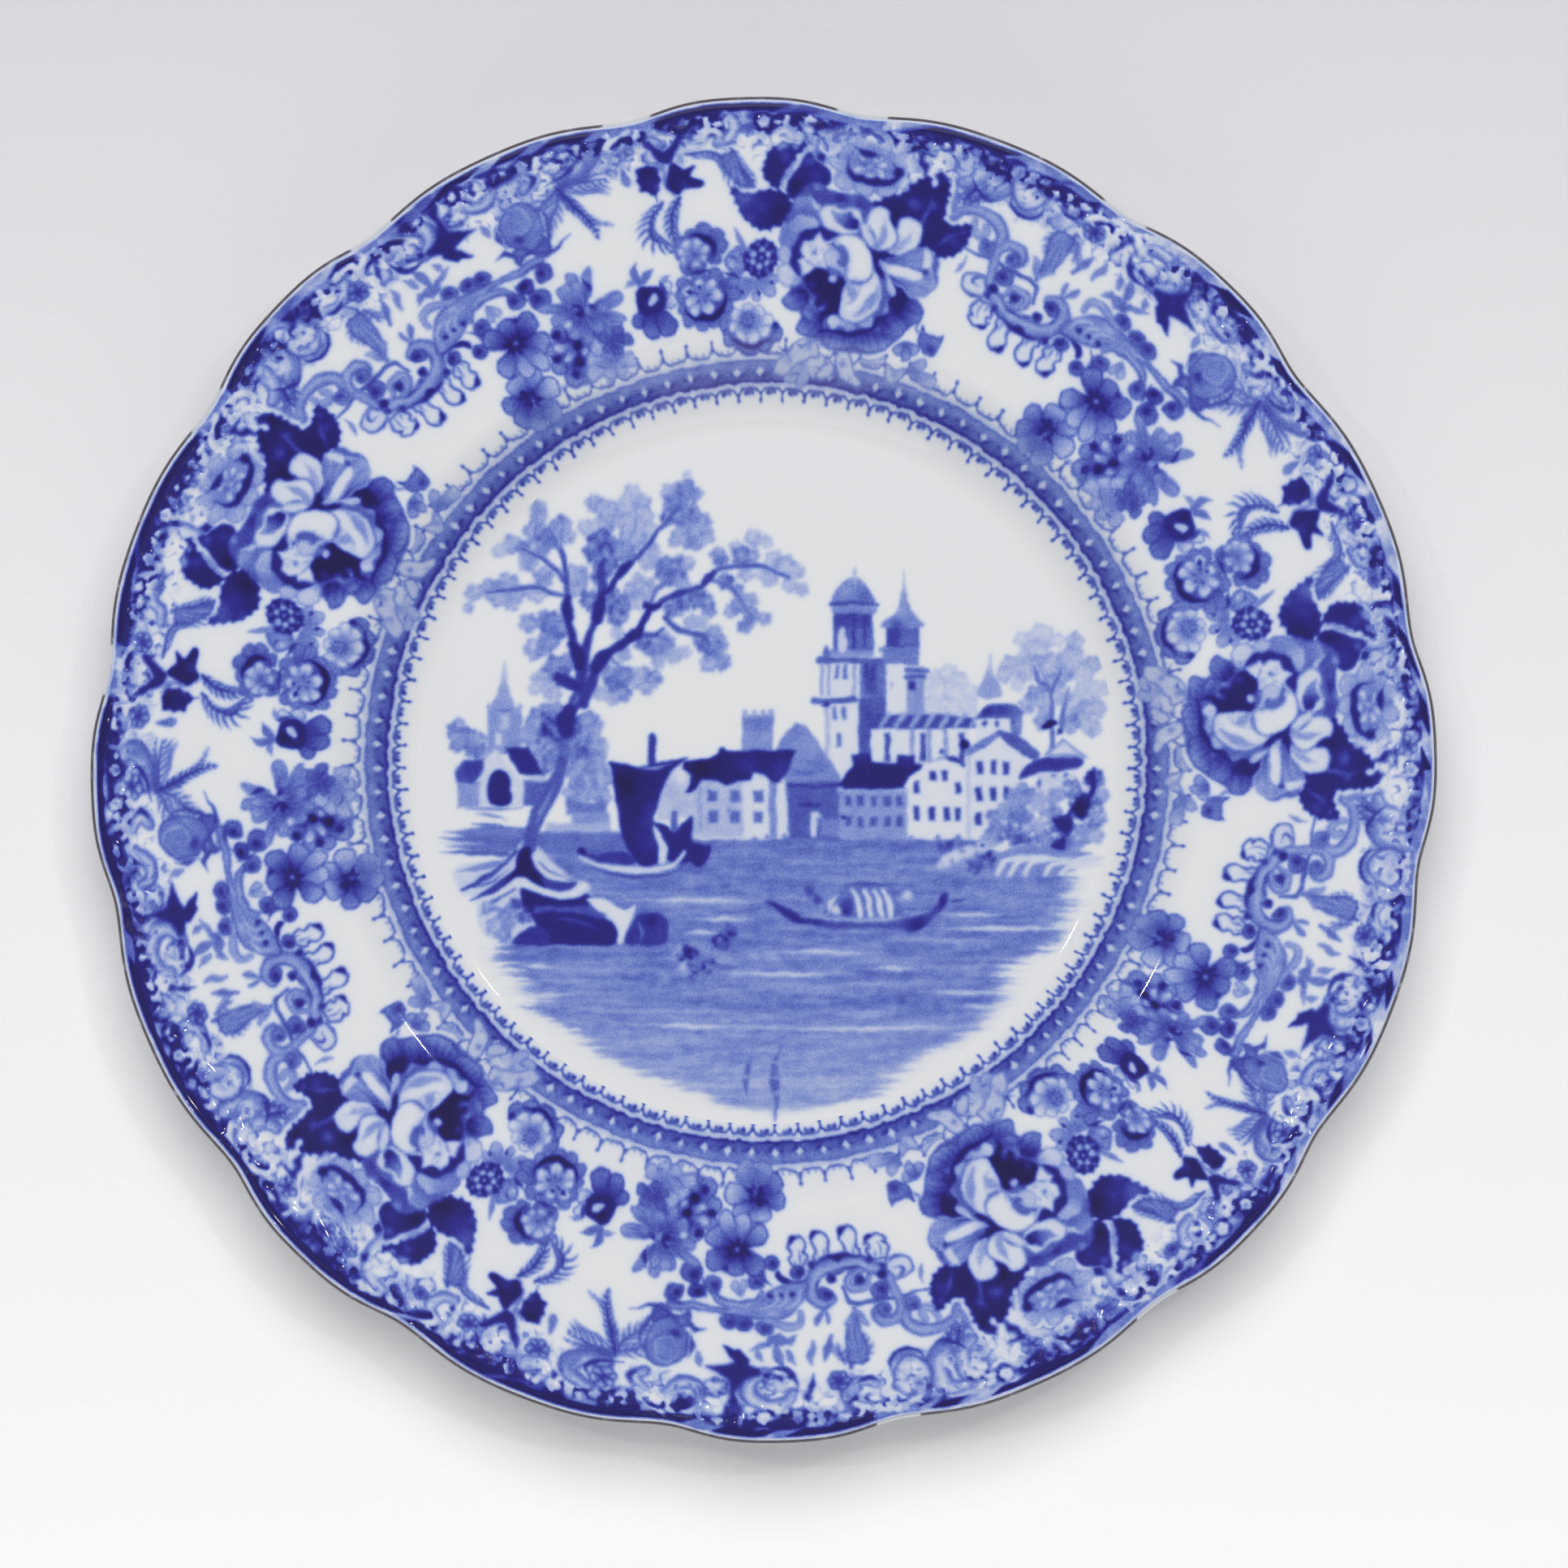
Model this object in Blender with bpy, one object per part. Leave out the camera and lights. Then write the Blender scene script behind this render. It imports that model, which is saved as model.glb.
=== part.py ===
"""A china dinner plate with a scalloped edge, printed and glazed, lying on its foot ring.

Frame: metres, +Z up out of the dish, origin at the middle of the foot ring's resting plane.
+Y is the top of the picture printed in the well.

The plate is one fired body. On its front lie the layers that the decorator put on one by one:
five border strips laid end to end round the rim, the round picture in the well, and the painted
line round the lip. Each layer is a thin shell sunk in the body's front, flush with its neighbours.
"""

import math

import bmesh
import bpy

# ---- driving dimensions, in metres ----
DIAMETER = 0.260  # over the lobes of the edge
WELL_Z = 0.0066  # height of the front at the middle of the well
WELL_RADIUS = 0.066  # where the well turns up into the cavetto
CAVETTO_RADIUS = 0.086  # where the cavetto runs out into the rim
CAVETTO_RISE = 0.0095
RIM_START = 0.080  # the rim's own slope starts inside the cavetto, so the two blend
RIM_RISE = 0.0078
WELL_WALL, RIM_WALL = 0.0040, 0.0032  # thickness of the clay
FOOT_INNER, FOOT_OUTER = 0.0714, 0.0738  # the flat that the plate stands on
FOOT_CHAMFER = 0.0004
FOOT_ROOT = 0.0022  # how far the ring widens to each side where it meets the base

LOBE_PERIOD = 45  # degrees: one wide lobe and one narrow lobe
WIDE_LOBE = (12, 36)  # degrees from +X, between two cusps
LOBE_DEPTH = 0.0020
LOBE_POWER = 1.8
LOBE_REACH = 0.030  # how far in from the edge the lobes are felt

LAYER = 0.00035  # thickness of a printed layer with its glaze
SEAT = 0.00060  # depth of the body's front under the finished surface
SEAM = 0.00030  # gap between neighbouring layers
PICTURE_RADIUS = 0.0690
BORDER_OUTER = 0.1280
LINE_INNER = 0.1283
STRIP_JOINTS = (42, 114, 186, 261, 333)  # degrees from +X, one strip from each to the next
STEP = 3  # degrees between two columns of points; cusps and joints are multiples of it

EDGE_RADIUS = DIAMETER / 2
LIP = RIM_WALL / 2  # the lip is half round


def smooth(t):
    """0 before 0, 1 after 1, and a smooth rise between."""
    t = min(max(t, 0.0), 1.0)
    return t * t * (3 - 2 * t)


def front_height(r):
    """Height of the finished front at radius r: flat well, cavetto, then a gently rising rim."""
    cavetto = CAVETTO_RISE * smooth((r - WELL_RADIUS) / (CAVETTO_RADIUS - WELL_RADIUS))
    rim = max(r - RIM_START, 0.0) / (EDGE_RADIUS - RIM_START)
    return WELL_Z + cavetto + RIM_RISE * rim**1.2


def wall(r):
    return WELL_WALL + (RIM_WALL - WELL_WALL) * smooth((r - WELL_RADIUS) / (EDGE_RADIUS - WELL_RADIUS))


def front_line(radii):
    return [(r, front_height(r)) for r in radii]


def lip_line(degrees, shrink=0.0):
    """Points round the half-round lip, from its top (90) over its edge (0) to its underside (-90)."""
    middle_r = EDGE_RADIUS - LIP
    middle_z = front_height(middle_r) - LIP
    size = LIP - shrink
    return [
        (middle_r + size * math.cos(math.radians(a)), middle_z + size * math.sin(math.radians(a)))
        for a in degrees
    ]


def sunk(points, depth):
    """The line moved down by depth at right angles to itself."""
    moved = []
    for i, (r, z) in enumerate(points):
        (r0, z0), (r1, z1) = points[max(i - 1, 0)], points[min(i + 1, len(points) - 1)]
        length = math.hypot(r1 - r0, z1 - z0)
        moved.append((max(r + depth * (z1 - z0) / length, 0.0), z - depth * (r1 - r0) / length))
    return moved


def lobe_drop(angle):
    """0 at the top of a lobe and 1 at a cusp, for an angle in degrees."""
    low, high = WIDE_LOBE
    a = (angle - low) % LOBE_PERIOD
    width = high - low
    if a > width:
        a, width = a - width, LOBE_PERIOD - width
    return abs(2 * a / width - 1) ** LOBE_POWER


def scallop(bm):
    """Pulls the outer part of a turned shape in at each cusp."""
    for v in bm.verts:
        r = math.hypot(v.co.x, v.co.y)
        share = smooth((r - (EDGE_RADIUS - LOBE_REACH)) / LOBE_REACH)
        if share > 0:
            angle = math.degrees(math.atan2(v.co.y, v.co.x))
            factor = 1 - LOBE_DEPTH * share * lobe_drop(round(angle, 3)) / r
            v.co.x *= factor
            v.co.y *= factor


def painted(name, colour, roughness, metallic=0.0):
    material = bpy.data.materials.new(name)
    material.use_nodes = True
    shader = material.node_tree.nodes["Principled BSDF"]
    shader.inputs["Base Color"].default_value = (*colour, 1.0)
    shader.inputs["Roughness"].default_value = roughness
    shader.inputs["Metallic"].default_value = metallic
    return material


def turned(name, outline, material, start=0.0, sweep=360.0):
    """A solid turned from a closed outline of (radius, height) points, over sweep degrees."""
    bm = bmesh.new()
    a = math.radians(start)
    verts = [bm.verts.new((r * math.cos(a), r * math.sin(a), z)) for r, z in outline]
    whole = sweep >= 360
    if whole:
        # an outline that starts and ends on the axis stays open there
        closing = 0 if outline[0][0] > 0 else -1
        pairs = zip(verts[: len(verts) + closing], verts[1:] + verts[:1])
        geometry = verts + [bm.edges.new(pair) for pair in pairs]
    else:
        face = bm.faces.new(verts)
        geometry = verts + list(face.edges) + [face]
    bmesh.ops.spin(
        bm,
        geom=geometry,
        cent=(0, 0, 0),
        axis=(0, 0, 1),
        angle=math.radians(sweep),
        steps=round(sweep / STEP),
        use_merge=whole,
    )
    bmesh.ops.remove_doubles(bm, verts=bm.verts, dist=1e-6)
    scallop(bm)
    bmesh.ops.recalc_face_normals(bm, faces=bm.faces)
    mesh = bpy.data.meshes.new(name)
    bm.to_mesh(mesh)
    bm.free()
    mesh.shade_smooth()
    mesh.set_sharp_from_angle(angle=math.radians(35))
    mesh.materials.append(material)
    obj = bpy.data.objects.new(name, mesh)
    bpy.context.scene.collection.objects.link(obj)
    return obj


def layer_outline(radii):
    """The cross-section of a thin layer over these radii: its finished top, then its underside."""
    top = front_line(radii)
    return top + sunk(top, LAYER)[::-1]


def stepped(first, last, count):
    return [first + (last - first) * i / (count - 1) for i in range(count)]


# The front is cut at the same radii in the body and in the layers, so that their faces stay parallel.
WELL_RADII = [0.0, 0.035, 0.062, PICTURE_RADIUS - SEAM / 2]
BORDER_RADII = [PICTURE_RADIUS + SEAM / 2, 0.0745, 0.0795, 0.084, 0.092, 0.104, 0.116, BORDER_OUTER]
LIP_ANGLES = (90, 55, 20, -20, -55, -80)


def plate_body(material):
    """The clay: seat for the layers in front, then the bare lip's underside, the back and the foot ring."""
    seat = sunk(front_line(WELL_RADII + BORDER_RADII), SEAT)
    seat_lip = lip_line(LIP_ANGLES, SEAT)
    base_z = front_height(0) - wall(0)
    back = [
        (r, front_height(r) - wall(r))
        for r in (EDGE_RADIUS - LIP - 0.0012, 0.119, 0.105, 0.093, 0.0855, 0.0805, FOOT_OUTER + FOOT_ROOT)
    ]
    foot = [
        (FOOT_OUTER + FOOT_CHAMFER, FOOT_CHAMFER),
        (FOOT_OUTER, 0.0),
        (FOOT_INNER, 0.0),
        (FOOT_INNER - FOOT_CHAMFER, FOOT_CHAMFER),
        (FOOT_INNER - FOOT_ROOT, base_z),
    ]
    return turned("plate_body", seat + seat_lip + back + foot + [(0.0, base_z)], material)


def centre_print(material):
    """The round picture in the well, a thin disc."""
    return turned("centre_print", layer_outline(WELL_RADII), material)


def border_print(number, material):
    """One strip of the printed border, from the joint with that number to the next."""
    start = STRIP_JOINTS[number]
    sweep = (STRIP_JOINTS[(number + 1) % len(STRIP_JOINTS)] - start) % 360
    strip = turned(f"border_print_{number + 1}", layer_outline(BORDER_RADII), material, start, sweep)
    trim_ends(strip.data, start, start + sweep)
    return strip


def trim_ends(mesh, start, end):
    """Moves the two end faces of a strip in by half a seam each, along the edge of the plate."""
    for v in mesh.vertices:
        angle = math.degrees(math.atan2(v.co.y, v.co.x))
        for joint, side in ((start, 1), (end, -1)):
            if abs((angle - joint + 180) % 360 - 180) < STEP / 2:
                a = math.radians(joint)
                v.co.x -= side * math.sin(a) * SEAM / 2
                v.co.y += side * math.cos(a) * SEAM / 2


def edge_line(material):
    """The line painted over the lip, a thin channel that wraps the edge of the body."""
    inner_r = LINE_INNER
    outer = [(inner_r, front_height(inner_r))] + lip_line(LIP_ANGLES[1:])
    under = lip_line(LIP_ANGLES[1:], LAYER)[::-1] + [(inner_r, front_height(inner_r) - LAYER)]
    return turned("edge_line", outer + under, material)


def clear_scene():
    for obj in list(bpy.data.objects):
        bpy.data.objects.remove(obj)


def main():
    clear_scene()
    glazed = painted("glazed_body", (0.80, 0.83, 0.84), 0.12)
    picture = painted("blue_picture", (0.30, 0.37, 0.72), 0.12)
    border = painted("blue_border", (0.22, 0.27, 0.66), 0.12)
    line = painted("dark_line", (0.05, 0.04, 0.07), 0.30, 0.4)
    pieces = [plate_body(glazed), centre_print(picture), edge_line(line)]
    pieces += [border_print(number, border) for number in range(len(STRIP_JOINTS))]
    plate = bpy.data.objects.new("plate", None)
    bpy.context.scene.collection.objects.link(plate)
    for piece in pieces:
        piece.parent = plate


main()
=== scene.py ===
import bmesh
import bpy
import numpy as np
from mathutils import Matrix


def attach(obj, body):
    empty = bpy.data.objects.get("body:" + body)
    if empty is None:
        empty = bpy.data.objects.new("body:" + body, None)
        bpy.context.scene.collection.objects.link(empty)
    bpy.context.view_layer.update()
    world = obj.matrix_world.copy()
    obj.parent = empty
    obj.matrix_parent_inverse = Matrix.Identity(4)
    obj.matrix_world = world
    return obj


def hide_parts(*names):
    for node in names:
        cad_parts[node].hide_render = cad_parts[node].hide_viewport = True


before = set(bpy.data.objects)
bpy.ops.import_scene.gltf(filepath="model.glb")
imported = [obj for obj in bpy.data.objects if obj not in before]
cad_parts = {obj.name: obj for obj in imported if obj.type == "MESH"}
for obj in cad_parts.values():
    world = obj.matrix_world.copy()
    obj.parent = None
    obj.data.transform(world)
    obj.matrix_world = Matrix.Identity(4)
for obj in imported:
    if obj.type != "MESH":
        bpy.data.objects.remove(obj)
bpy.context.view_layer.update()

plateShape = {
    "edgeRadius": 130.0,
    "wellZ": 6.6,
    "wellRadius": 66.0,
    "cavettoRadius": 86.0,
    "cavettoRise": 9.5,
    "rimStart": 80.0,
    "rimRise": 7.8,
    "wallWell": 4.0,
    "wallRim": 3.2,
    "lipRadius": 1.6,
    "skin": 0.6,
    "lobeDepth": 2.0,
    "lobeReach": 30.0,
    "cusps": (11.75, 36.5),
    "footInner": 71.4,
    "footOuter": 73.8,
    "pictureRadius": 69.0,
    "frontEnd": 129.35,
}
joints = (42, 114, 186, 261, 333)  # where one border strip ends and the next begins
aspect = 1.745  # mm for a degree, 100 mm from the middle
rimAspect = 2.1  # the same at 120 mm, where the edge is moulded


def ease(t):
    # 0 before 0, 1 after 1, a smooth rise between
    t = np.clip(t, 0, 1)
    return t * t * (3 - 2 * t)


def frontHeight(r):
    # flat well, smooth cavetto, then a rim that rises a little faster towards its edge; the lip rolls over
    s = plateShape
    lipStart = s["edgeRadius"] - s["lipRadius"]
    flat = np.minimum(r, lipStart)
    rise = s["cavettoRise"] * ease((flat - s["wellRadius"]) / (s["cavettoRadius"] - s["wellRadius"]))
    slope = np.clip((flat - s["rimStart"]) / (s["edgeRadius"] - s["rimStart"]), 0, 1) ** 1.2
    over = np.clip(r - lipStart, 0, s["lipRadius"])
    roll = s["lipRadius"] - np.sqrt(s["lipRadius"] ** 2 - over**2)
    return s["wellZ"] + rise + s["rimRise"] * slope - roll


def lobeDrop(angle):
    # 0 at the top of a lobe and 1 at a cusp: a squared sine of the distance from the lobe's top
    low, high = plateShape["cusps"]
    a = (angle - low) % 45
    wide = a < high - low
    span = np.where(wide, high - low, 45 - high + low)
    t = np.abs(2 * np.where(wide, a, a - (high - low)) / span - 1)
    return np.sin(np.pi / 2 * t**1.75) ** 2


def scalloped(r, angle):
    # the radius pulled in towards each cusp, more and more over the last stretch
    s = plateShape
    share = ease((r - s["edgeRadius"] + s["lobeReach"]) / s["lobeReach"])
    return r - s["lobeDepth"] * share * lobeDrop(angle)


def grain(x, y, size, seed, period=0):
    # smooth random hills between -1 and 1 on a square lattice, repeating along x after period cells
    table = np.random.RandomState(seed).rand(97, 97) * 2 - 1
    u, v = x / size, y / size
    i, j = np.floor(u).astype(int), np.floor(v).astype(int)
    fu, fv = ease(u - i), ease(v - j)
    wrap = period or 97
    i0, i1 = i % wrap % 97, (i + 1) % wrap % 97
    j0, j1 = j % 97, (j + 1) % 97
    low = table[j0, i0] * (1 - fu) + table[j0, i1] * fu
    high = table[j1, i0] * (1 - fu) + table[j1, i1] * fu
    return low * (1 - fv) + high * fv


def curve(points, closed=False, steps=5):
    # a smooth curve through the given points, each piece a cubic between two of them
    p = np.asarray(points, float)
    if closed:
        a, b, c, d = (np.roll(p, s, axis=0) for s in (1, 0, -1, -2))
    else:
        q = np.vstack([2 * p[0] - p[1], p, 2 * p[-1] - p[-2]])
        a, b, c, d = q[:-3], q[1:-2], q[2:-1], q[3:]
    t = (np.arange(steps) / steps)[None, :, None]
    a, b, c, d = (v[:, None, :] for v in (a, b, c, d))
    out = 0.5 * (2 * b + (c - a) * t + (2 * a - 5 * b + 4 * c - d) * t**2 + (3 * b - a - 3 * c + d) * t**3)
    out = out.reshape(-1, 2)
    return out if closed else np.vstack([out, p[-1]])


def nearest(px, py, line, closed):
    # distance to the line, length along it at the nearest point, whether the point is inside, total length
    ends = np.roll(line, -1, axis=0) if closed else line[1:]
    starts = line if closed else line[:-1]
    best = np.full(px.shape, 1e9)
    along = np.zeros(px.shape)
    inside = np.zeros(px.shape, bool)
    walked = 0.0
    for (ax, ay), (bx, by) in zip(starts, ends):
        ex, ey = bx - ax, by - ay
        length = np.hypot(ex, ey)
        if length < 1e-9:
            continue
        t = np.clip(((px - ax) * ex + (py - ay) * ey) / length**2, 0, 1)
        d = (px - ax - t * ex) ** 2 + (py - ay - t * ey) ** 2
        closer = d < best
        best[closer] = d[closer]
        along[closer] = walked + t[closer] * length
        if closed and ay != by:
            inside ^= ((ay > py) != (by > py)) & (px < ax + ex * (py - ay) / ey)
        walked += length
    return np.sqrt(best), along, inside, walked


class Sheet:
    # a grid of points in mm on which ink is laid: 0 is bare glaze, 1 the darkest blue
    def __init__(self, x, y, aspect=1.0, repeat=0.0, wobble=0.0, seed=3):
        self.xs, self.ys = x, y  # the two axes of the grid
        self.x, self.y = np.meshgrid(x, y)
        self.ink = np.zeros(self.x.shape)
        self.aspect = aspect  # mm for one unit of the first coordinate
        self.repeat = repeat
        cells = int(round(repeat / 1.9)) if repeat else 0
        size = repeat / cells if cells else 1.9
        coarse, fine = [], []
        for s in (seed, seed + 1):
            coarse.append(grain(self.x, self.y, size, s, cells))
            fine.append(grain(self.x, self.y, size / 2, s + 2, cells * 2))
        dx, dy = (a + 0.5 * b for a, b in zip(coarse, fine))
        self.x += wobble * dx
        self.y += wobble * dy

    def near(self, cx, cy, wx, wy):
        # the part of the grid in a window, once for each repeat that reaches it
        found = []
        for shift in (0, -self.repeat, self.repeat) if self.repeat else (0,):
            c0, c1 = np.searchsorted(self.xs, (cx + shift - wx - 0.5, cx + shift + wx + 0.5))
            r0, r1 = np.searchsorted(self.ys, (cy - wy - 0.5, cy + wy + 0.5))
            if c1 > c0 and r1 > r0:
                w = (slice(r0, r1), slice(c0, c1))
                found.append((w, self.x[w] - shift, self.y[w]))
        return found

    def around(self, line, pad):
        low, high = line.min(0) - pad, line.max(0) + pad
        centre, half = (low + high) / 2, (high - low) / 2
        return self.near(centre[0], centre[1], half[0], half[1])

    def lay(self, w, cover, tone, darken=False):
        if darken:
            self.ink[w] = np.maximum(self.ink[w], tone * cover)
        else:
            self.ink[w] += (tone - self.ink[w]) * cover

    def place(self, points):
        return np.asarray(points, float) * (self.aspect, 1)

    def shape(self, points, tone, soft=0.3, edge=0.0, edgeTone=0.75, marks=(), veins=None, teeth=None,
            sharp=False, slope=None, shadow=0.0, shadowTone=0.8):
        # a filled outline: its tone, or a slope of tone from one (k, r, tone) to another,
        # softer marks (k, r, size, tone), veins fanned from a point, a darker edge,
        # and a shadow on what lies behind
        line = self.place(points) if sharp else curve(self.place(points), True)
        for w, x, y in self.around(line, 0.6 + soft + 1.6 * shadow):
            d, along, inside, total = nearest(x, y, line, True)
            d = np.where(inside, d, -d)
            if teeth:
                count, depth = teeth
                d = d - depth * np.abs(np.sin(along / total * np.pi * count))
            t = np.full(x.shape, float(tone))
            if slope:
                (k0, r0, t0), (k1, r1, t1) = slope
                ux, uy = (k1 - k0) * self.aspect, r1 - r0
                share = ((x - k0 * self.aspect) * ux + (y - r0) * uy) / (ux * ux + uy * uy)
                t = t0 + (t1 - t0) * ease(share)
            if shadow:
                cast = 0.75 * np.exp(-((np.minimum(d, 0) / shadow) ** 2))
                self.lay(w, cast * (self.ink[w] > 0.25), shadowTone, True)
            for mk, mr, size, markTone in marks:
                t += (markTone - t) * np.exp(-(((x - mk * self.aspect) ** 2 + (y - mr) ** 2) / size**2))
            if veins:
                vk, vr, count, strength = veins
                t += strength * np.sin(np.arctan2(y - vr, x - vk * self.aspect) * count)
            if edge:
                t += (edgeTone - t) * np.exp(-(np.maximum(d - 0.15, 0) ** 2) / edge**2)
            self.lay(w, ease(0.5 + d / (2 * soft)), np.clip(t, 0, 1))

    def line(self, points, width, tone, soft=0.25, tips=(0.2, 0.2), darken=True, sharp=False):
        # a pen line that thins towards its tips
        line = self.place(points) if sharp else curve(self.place(points), steps=4)
        for w, x, y in self.around(line, width / 2 + soft):
            d, along, _, total = nearest(x, y, line, False)
            u = along / total
            taper = 1 - (1 - tips[0]) * ease(1 - u * 2) - (1 - tips[1]) * ease(u * 2 - 1)
            self.lay(w, ease(0.5 + (width / 2 * taper - d) / (2 * soft) + 0.25 * taper), tone, darken)

    def petals(self, root, near, far, *tips, edgeTone=0.72, veins=0.05, edge=0.26):
        # egg-shaped petals (tip k, tip r, width) out of one point, their tone running from near to far
        for k, r, width in tips:
            dx, dy = (k - root[0]) * self.aspect, r - root[1]
            long = np.hypot(dx, dy)
            a = np.arange(12) * np.pi / 6
            u, v = 0.53 - 0.5 * np.cos(a), np.sin(a) * (0.36 - 0.2 * np.cos(a)) * width * 1.25
            outline = []
            for p, q in zip(u, v):
                at = root[0] + (dx * p - dy / long * q) / self.aspect
                outline.append((at, root[1] + dy * p + dx / long * q))
            slope = ((*root, near), (k, r, far))
            self.shape(outline, far, edge=edge, edgeTone=edgeTone, slope=slope, veins=(*root, 40, veins))

    def ribbon(self, points, width, tone=0.48, rim=0.78, lit=0.3, tips=(0.6, 0.8), lean=0.16):
        # a moulded band: dark rims, a middle tone and a lit line off its middle
        self.line(points, width + 0.45, rim, 0.4, tips)
        self.line(points, width - 0.4, tone, 0.45, tips, darken=False)
        lifted = [(k - lean * width / 3, r + lean * width) for k, r in points]
        self.line(lifted, width * 0.28, lit, 0.55, (0.3, 0.3), darken=False)

    def lines(self, width, tone, *paths, **how):
        for points in paths:
            self.line(points, width, tone, **how)

    def dot(self, k, r, size, tone, soft=0.3):
        for w, x, y in self.near(k * self.aspect, r, size + 1, size + 1):
            d = size - np.hypot(x - k * self.aspect, y - r)
            self.lay(w, ease(0.5 + d / (2 * soft)), tone)

    def dots(self, *spots, soft=0.5):
        for k, r, size, tone in spots:
            self.dot(k, r, size, tone, soft)

    def block(self, left, low, right, high, tone, soft=0.22):
        # a plain rectangle
        for w, x, y in self.near((left + right) / 2 * self.aspect, (low + high) / 2, (right - left) / 2 + 1,
                (high - low) / 2 + 1):
            d = np.minimum(np.minimum(x - left, right - x), np.minimum(y - low, high - y))
            self.lay(w, ease(0.5 + d / (2 * soft)), tone)

    def clumps(self, *spots, lobes=5):
        # foliage: soft lobed patches with blotches inside and darker rims
        for k, r, size, tone in spots:
            for w, x, y in self.near(k * self.aspect, r, size * 1.3 + 1, size * 1.3 + 1):
                dx, dy = x - k * self.aspect, y - r
                phi = np.arctan2(dy, dx)
                lobed = 0.84 + 0.24 * np.abs(np.cos(phi * lobes / 2 + k * 1.7 + r))
                lobed += 0.05 * np.cos(phi * 9 + r)
                d = size * lobed - np.hypot(dx, dy)
                t = tone * (1 + 0.3 * grain(x, y, 1.1, 91) + 0.16 * grain(x, y, 0.5, 92))
                rim = 0.08 * np.exp(-((np.maximum(d - 0.2, 0) / 0.35) ** 2))
                t += rim + 0.12 * tone * np.cos(phi * 6 + k) * ease(d)
                self.lay(w, ease(0.5 + d / 1.1), np.clip(t, 0, 1))

    def bloom(self, k, r, size, petals=5, tone=0.3, edgeTone=0.7, heart=0.9, turn=90.0, squash=1.0,
            notch=0.35, heartSize=0.3, edge=0.45, vein=0.07):
        # a round flower: petals with darker outlines, veins and a dark heart
        for w, x, y in self.near(k * self.aspect, r, size * 1.1 + 1, size * 1.1 + 1):
            dx, dy = x - k * self.aspect, (y - r) / squash
            rho, phi = np.hypot(dx, dy), np.arctan2(dy, dx) - np.radians(turn)
            f = (phi * petals / (2 * np.pi) + 0.5) % 1 - 0.5
            odd = 1 + 0.07 * np.sin(phi * 2.0 + k) + 0.05 * np.sin(phi * 3 + r)
            d = size * odd * (1 - notch * np.abs(2 * f) ** 2.6) - rho
            side = (0.5 - np.abs(f)) * 2 * np.pi / petals * rho
            t = tone + vein * np.cos(f * 34) * ease(rho / size) + 0.1 * np.cos(phi + 2.2)
            t = t + (edgeTone - t) * 0.85 * np.exp(-((np.maximum(d - 0.1, 0) / edge) ** 2))
            seam = np.exp(-((side / (edge * 0.7)) ** 2))
            t = t + (edgeTone - t) * 0.8 * seam * ease(rho / size * 2 - 0.4)
            core = np.exp(-((rho / (heartSize * size)) ** 2))
            t = t + (heart - t) * core * (0.8 + 0.2 * np.cos(phi * petals))
            self.lay(w, ease(0.5 + d / 0.6), np.clip(t, 0, 1))

    def fern(self, points, length, tone, step=0.8, width=0.22, lean=0.9, sides=(1, -1), stem=0.35,
            curl=0.35):
        # fine leaflets on one or both sides of a stem, longest past its middle
        line = curve(self.place(points), steps=10)
        seg = np.diff(line, axis=0)
        reach = np.concatenate([[0], np.cumsum(np.hypot(*seg.T))])
        self.line(points, stem, tone * 1.15, tips=(1, 0.3))
        for s in np.arange(step * 0.5, reach[-1], step):
            x, y = (np.interp(s, reach, line[:, c]) for c in (0, 1))
            j = min(np.searchsorted(reach, s), len(seg)) - 1
            tx, ty = seg[j] / np.hypot(*seg[j])
            size = length * np.sin(np.pi * min(0.15 + 0.85 * s / reach[-1], 0.97)) ** 0.7
            for side in sides:
                dx = -ty * side * np.sin(lean) + tx * np.cos(lean)
                dy = tx * side * np.sin(lean) + ty * np.cos(lean)
                mid = (x + dx * size * 0.5, y + dy * size * 0.5)
                end = (x + dx * size + tx * size * curl, y + dy * size + ty * size * curl)
                self.line([(a / self.aspect, b) for a, b in ((x, y), mid, end)], width, tone,
                    tips=(1, 0.15))

    def ball(self, k, r, size, tone, lit=0.18):
        # a round end with a lit side and a darker rim
        for w, x, y in self.near(k * self.aspect, r, size + 1, size + 1):
            dx, dy = x - k * self.aspect, y - r
            d = size - np.hypot(dx, dy)
            glow = np.exp(-((dx + 0.2 * size) ** 2 + (dy - 0.1 * size) ** 2) / (0.55 * size) ** 2)
            t = tone - lit + 2 * lit * glow
            t = t + (tone + 0.1 - t) * np.exp(-((np.maximum(d, 0) / 0.4) ** 2))
            self.lay(w, ease(0.5 + d / 0.6), np.clip(t, 0, 1))

    def blurred(self, reach):
        # the ink as it looks through soft glaze
        step = self.xs[1] - self.xs[0]
        n = int(np.ceil(reach * 2.5 / step))
        weights = np.exp(-((np.arange(-n, n + 1) * step / reach) ** 2))
        weights /= weights.sum()
        pad = np.pad(self.ink, ((0, 0), (n, n)), mode="wrap" if self.repeat else "edge")
        pad = np.pad(pad, ((n, n), (0, 0)), mode="edge")
        rows = sum(wt * pad[:, i : i + self.ink.shape[1]] for i, wt in enumerate(weights))
        return sum(wt * rows[i : i + self.ink.shape[0]] for i, wt in enumerate(weights))

    def bleed(self, reach, share):
        # colour that has run into the glaze around the print
        self.ink = self.ink + (1 - self.ink) * self.blurred(reach) * share

    def soften(self, reach, share):
        self.ink += (self.blurred(reach) - self.ink) * share

    def read(self, x, y):
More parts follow.
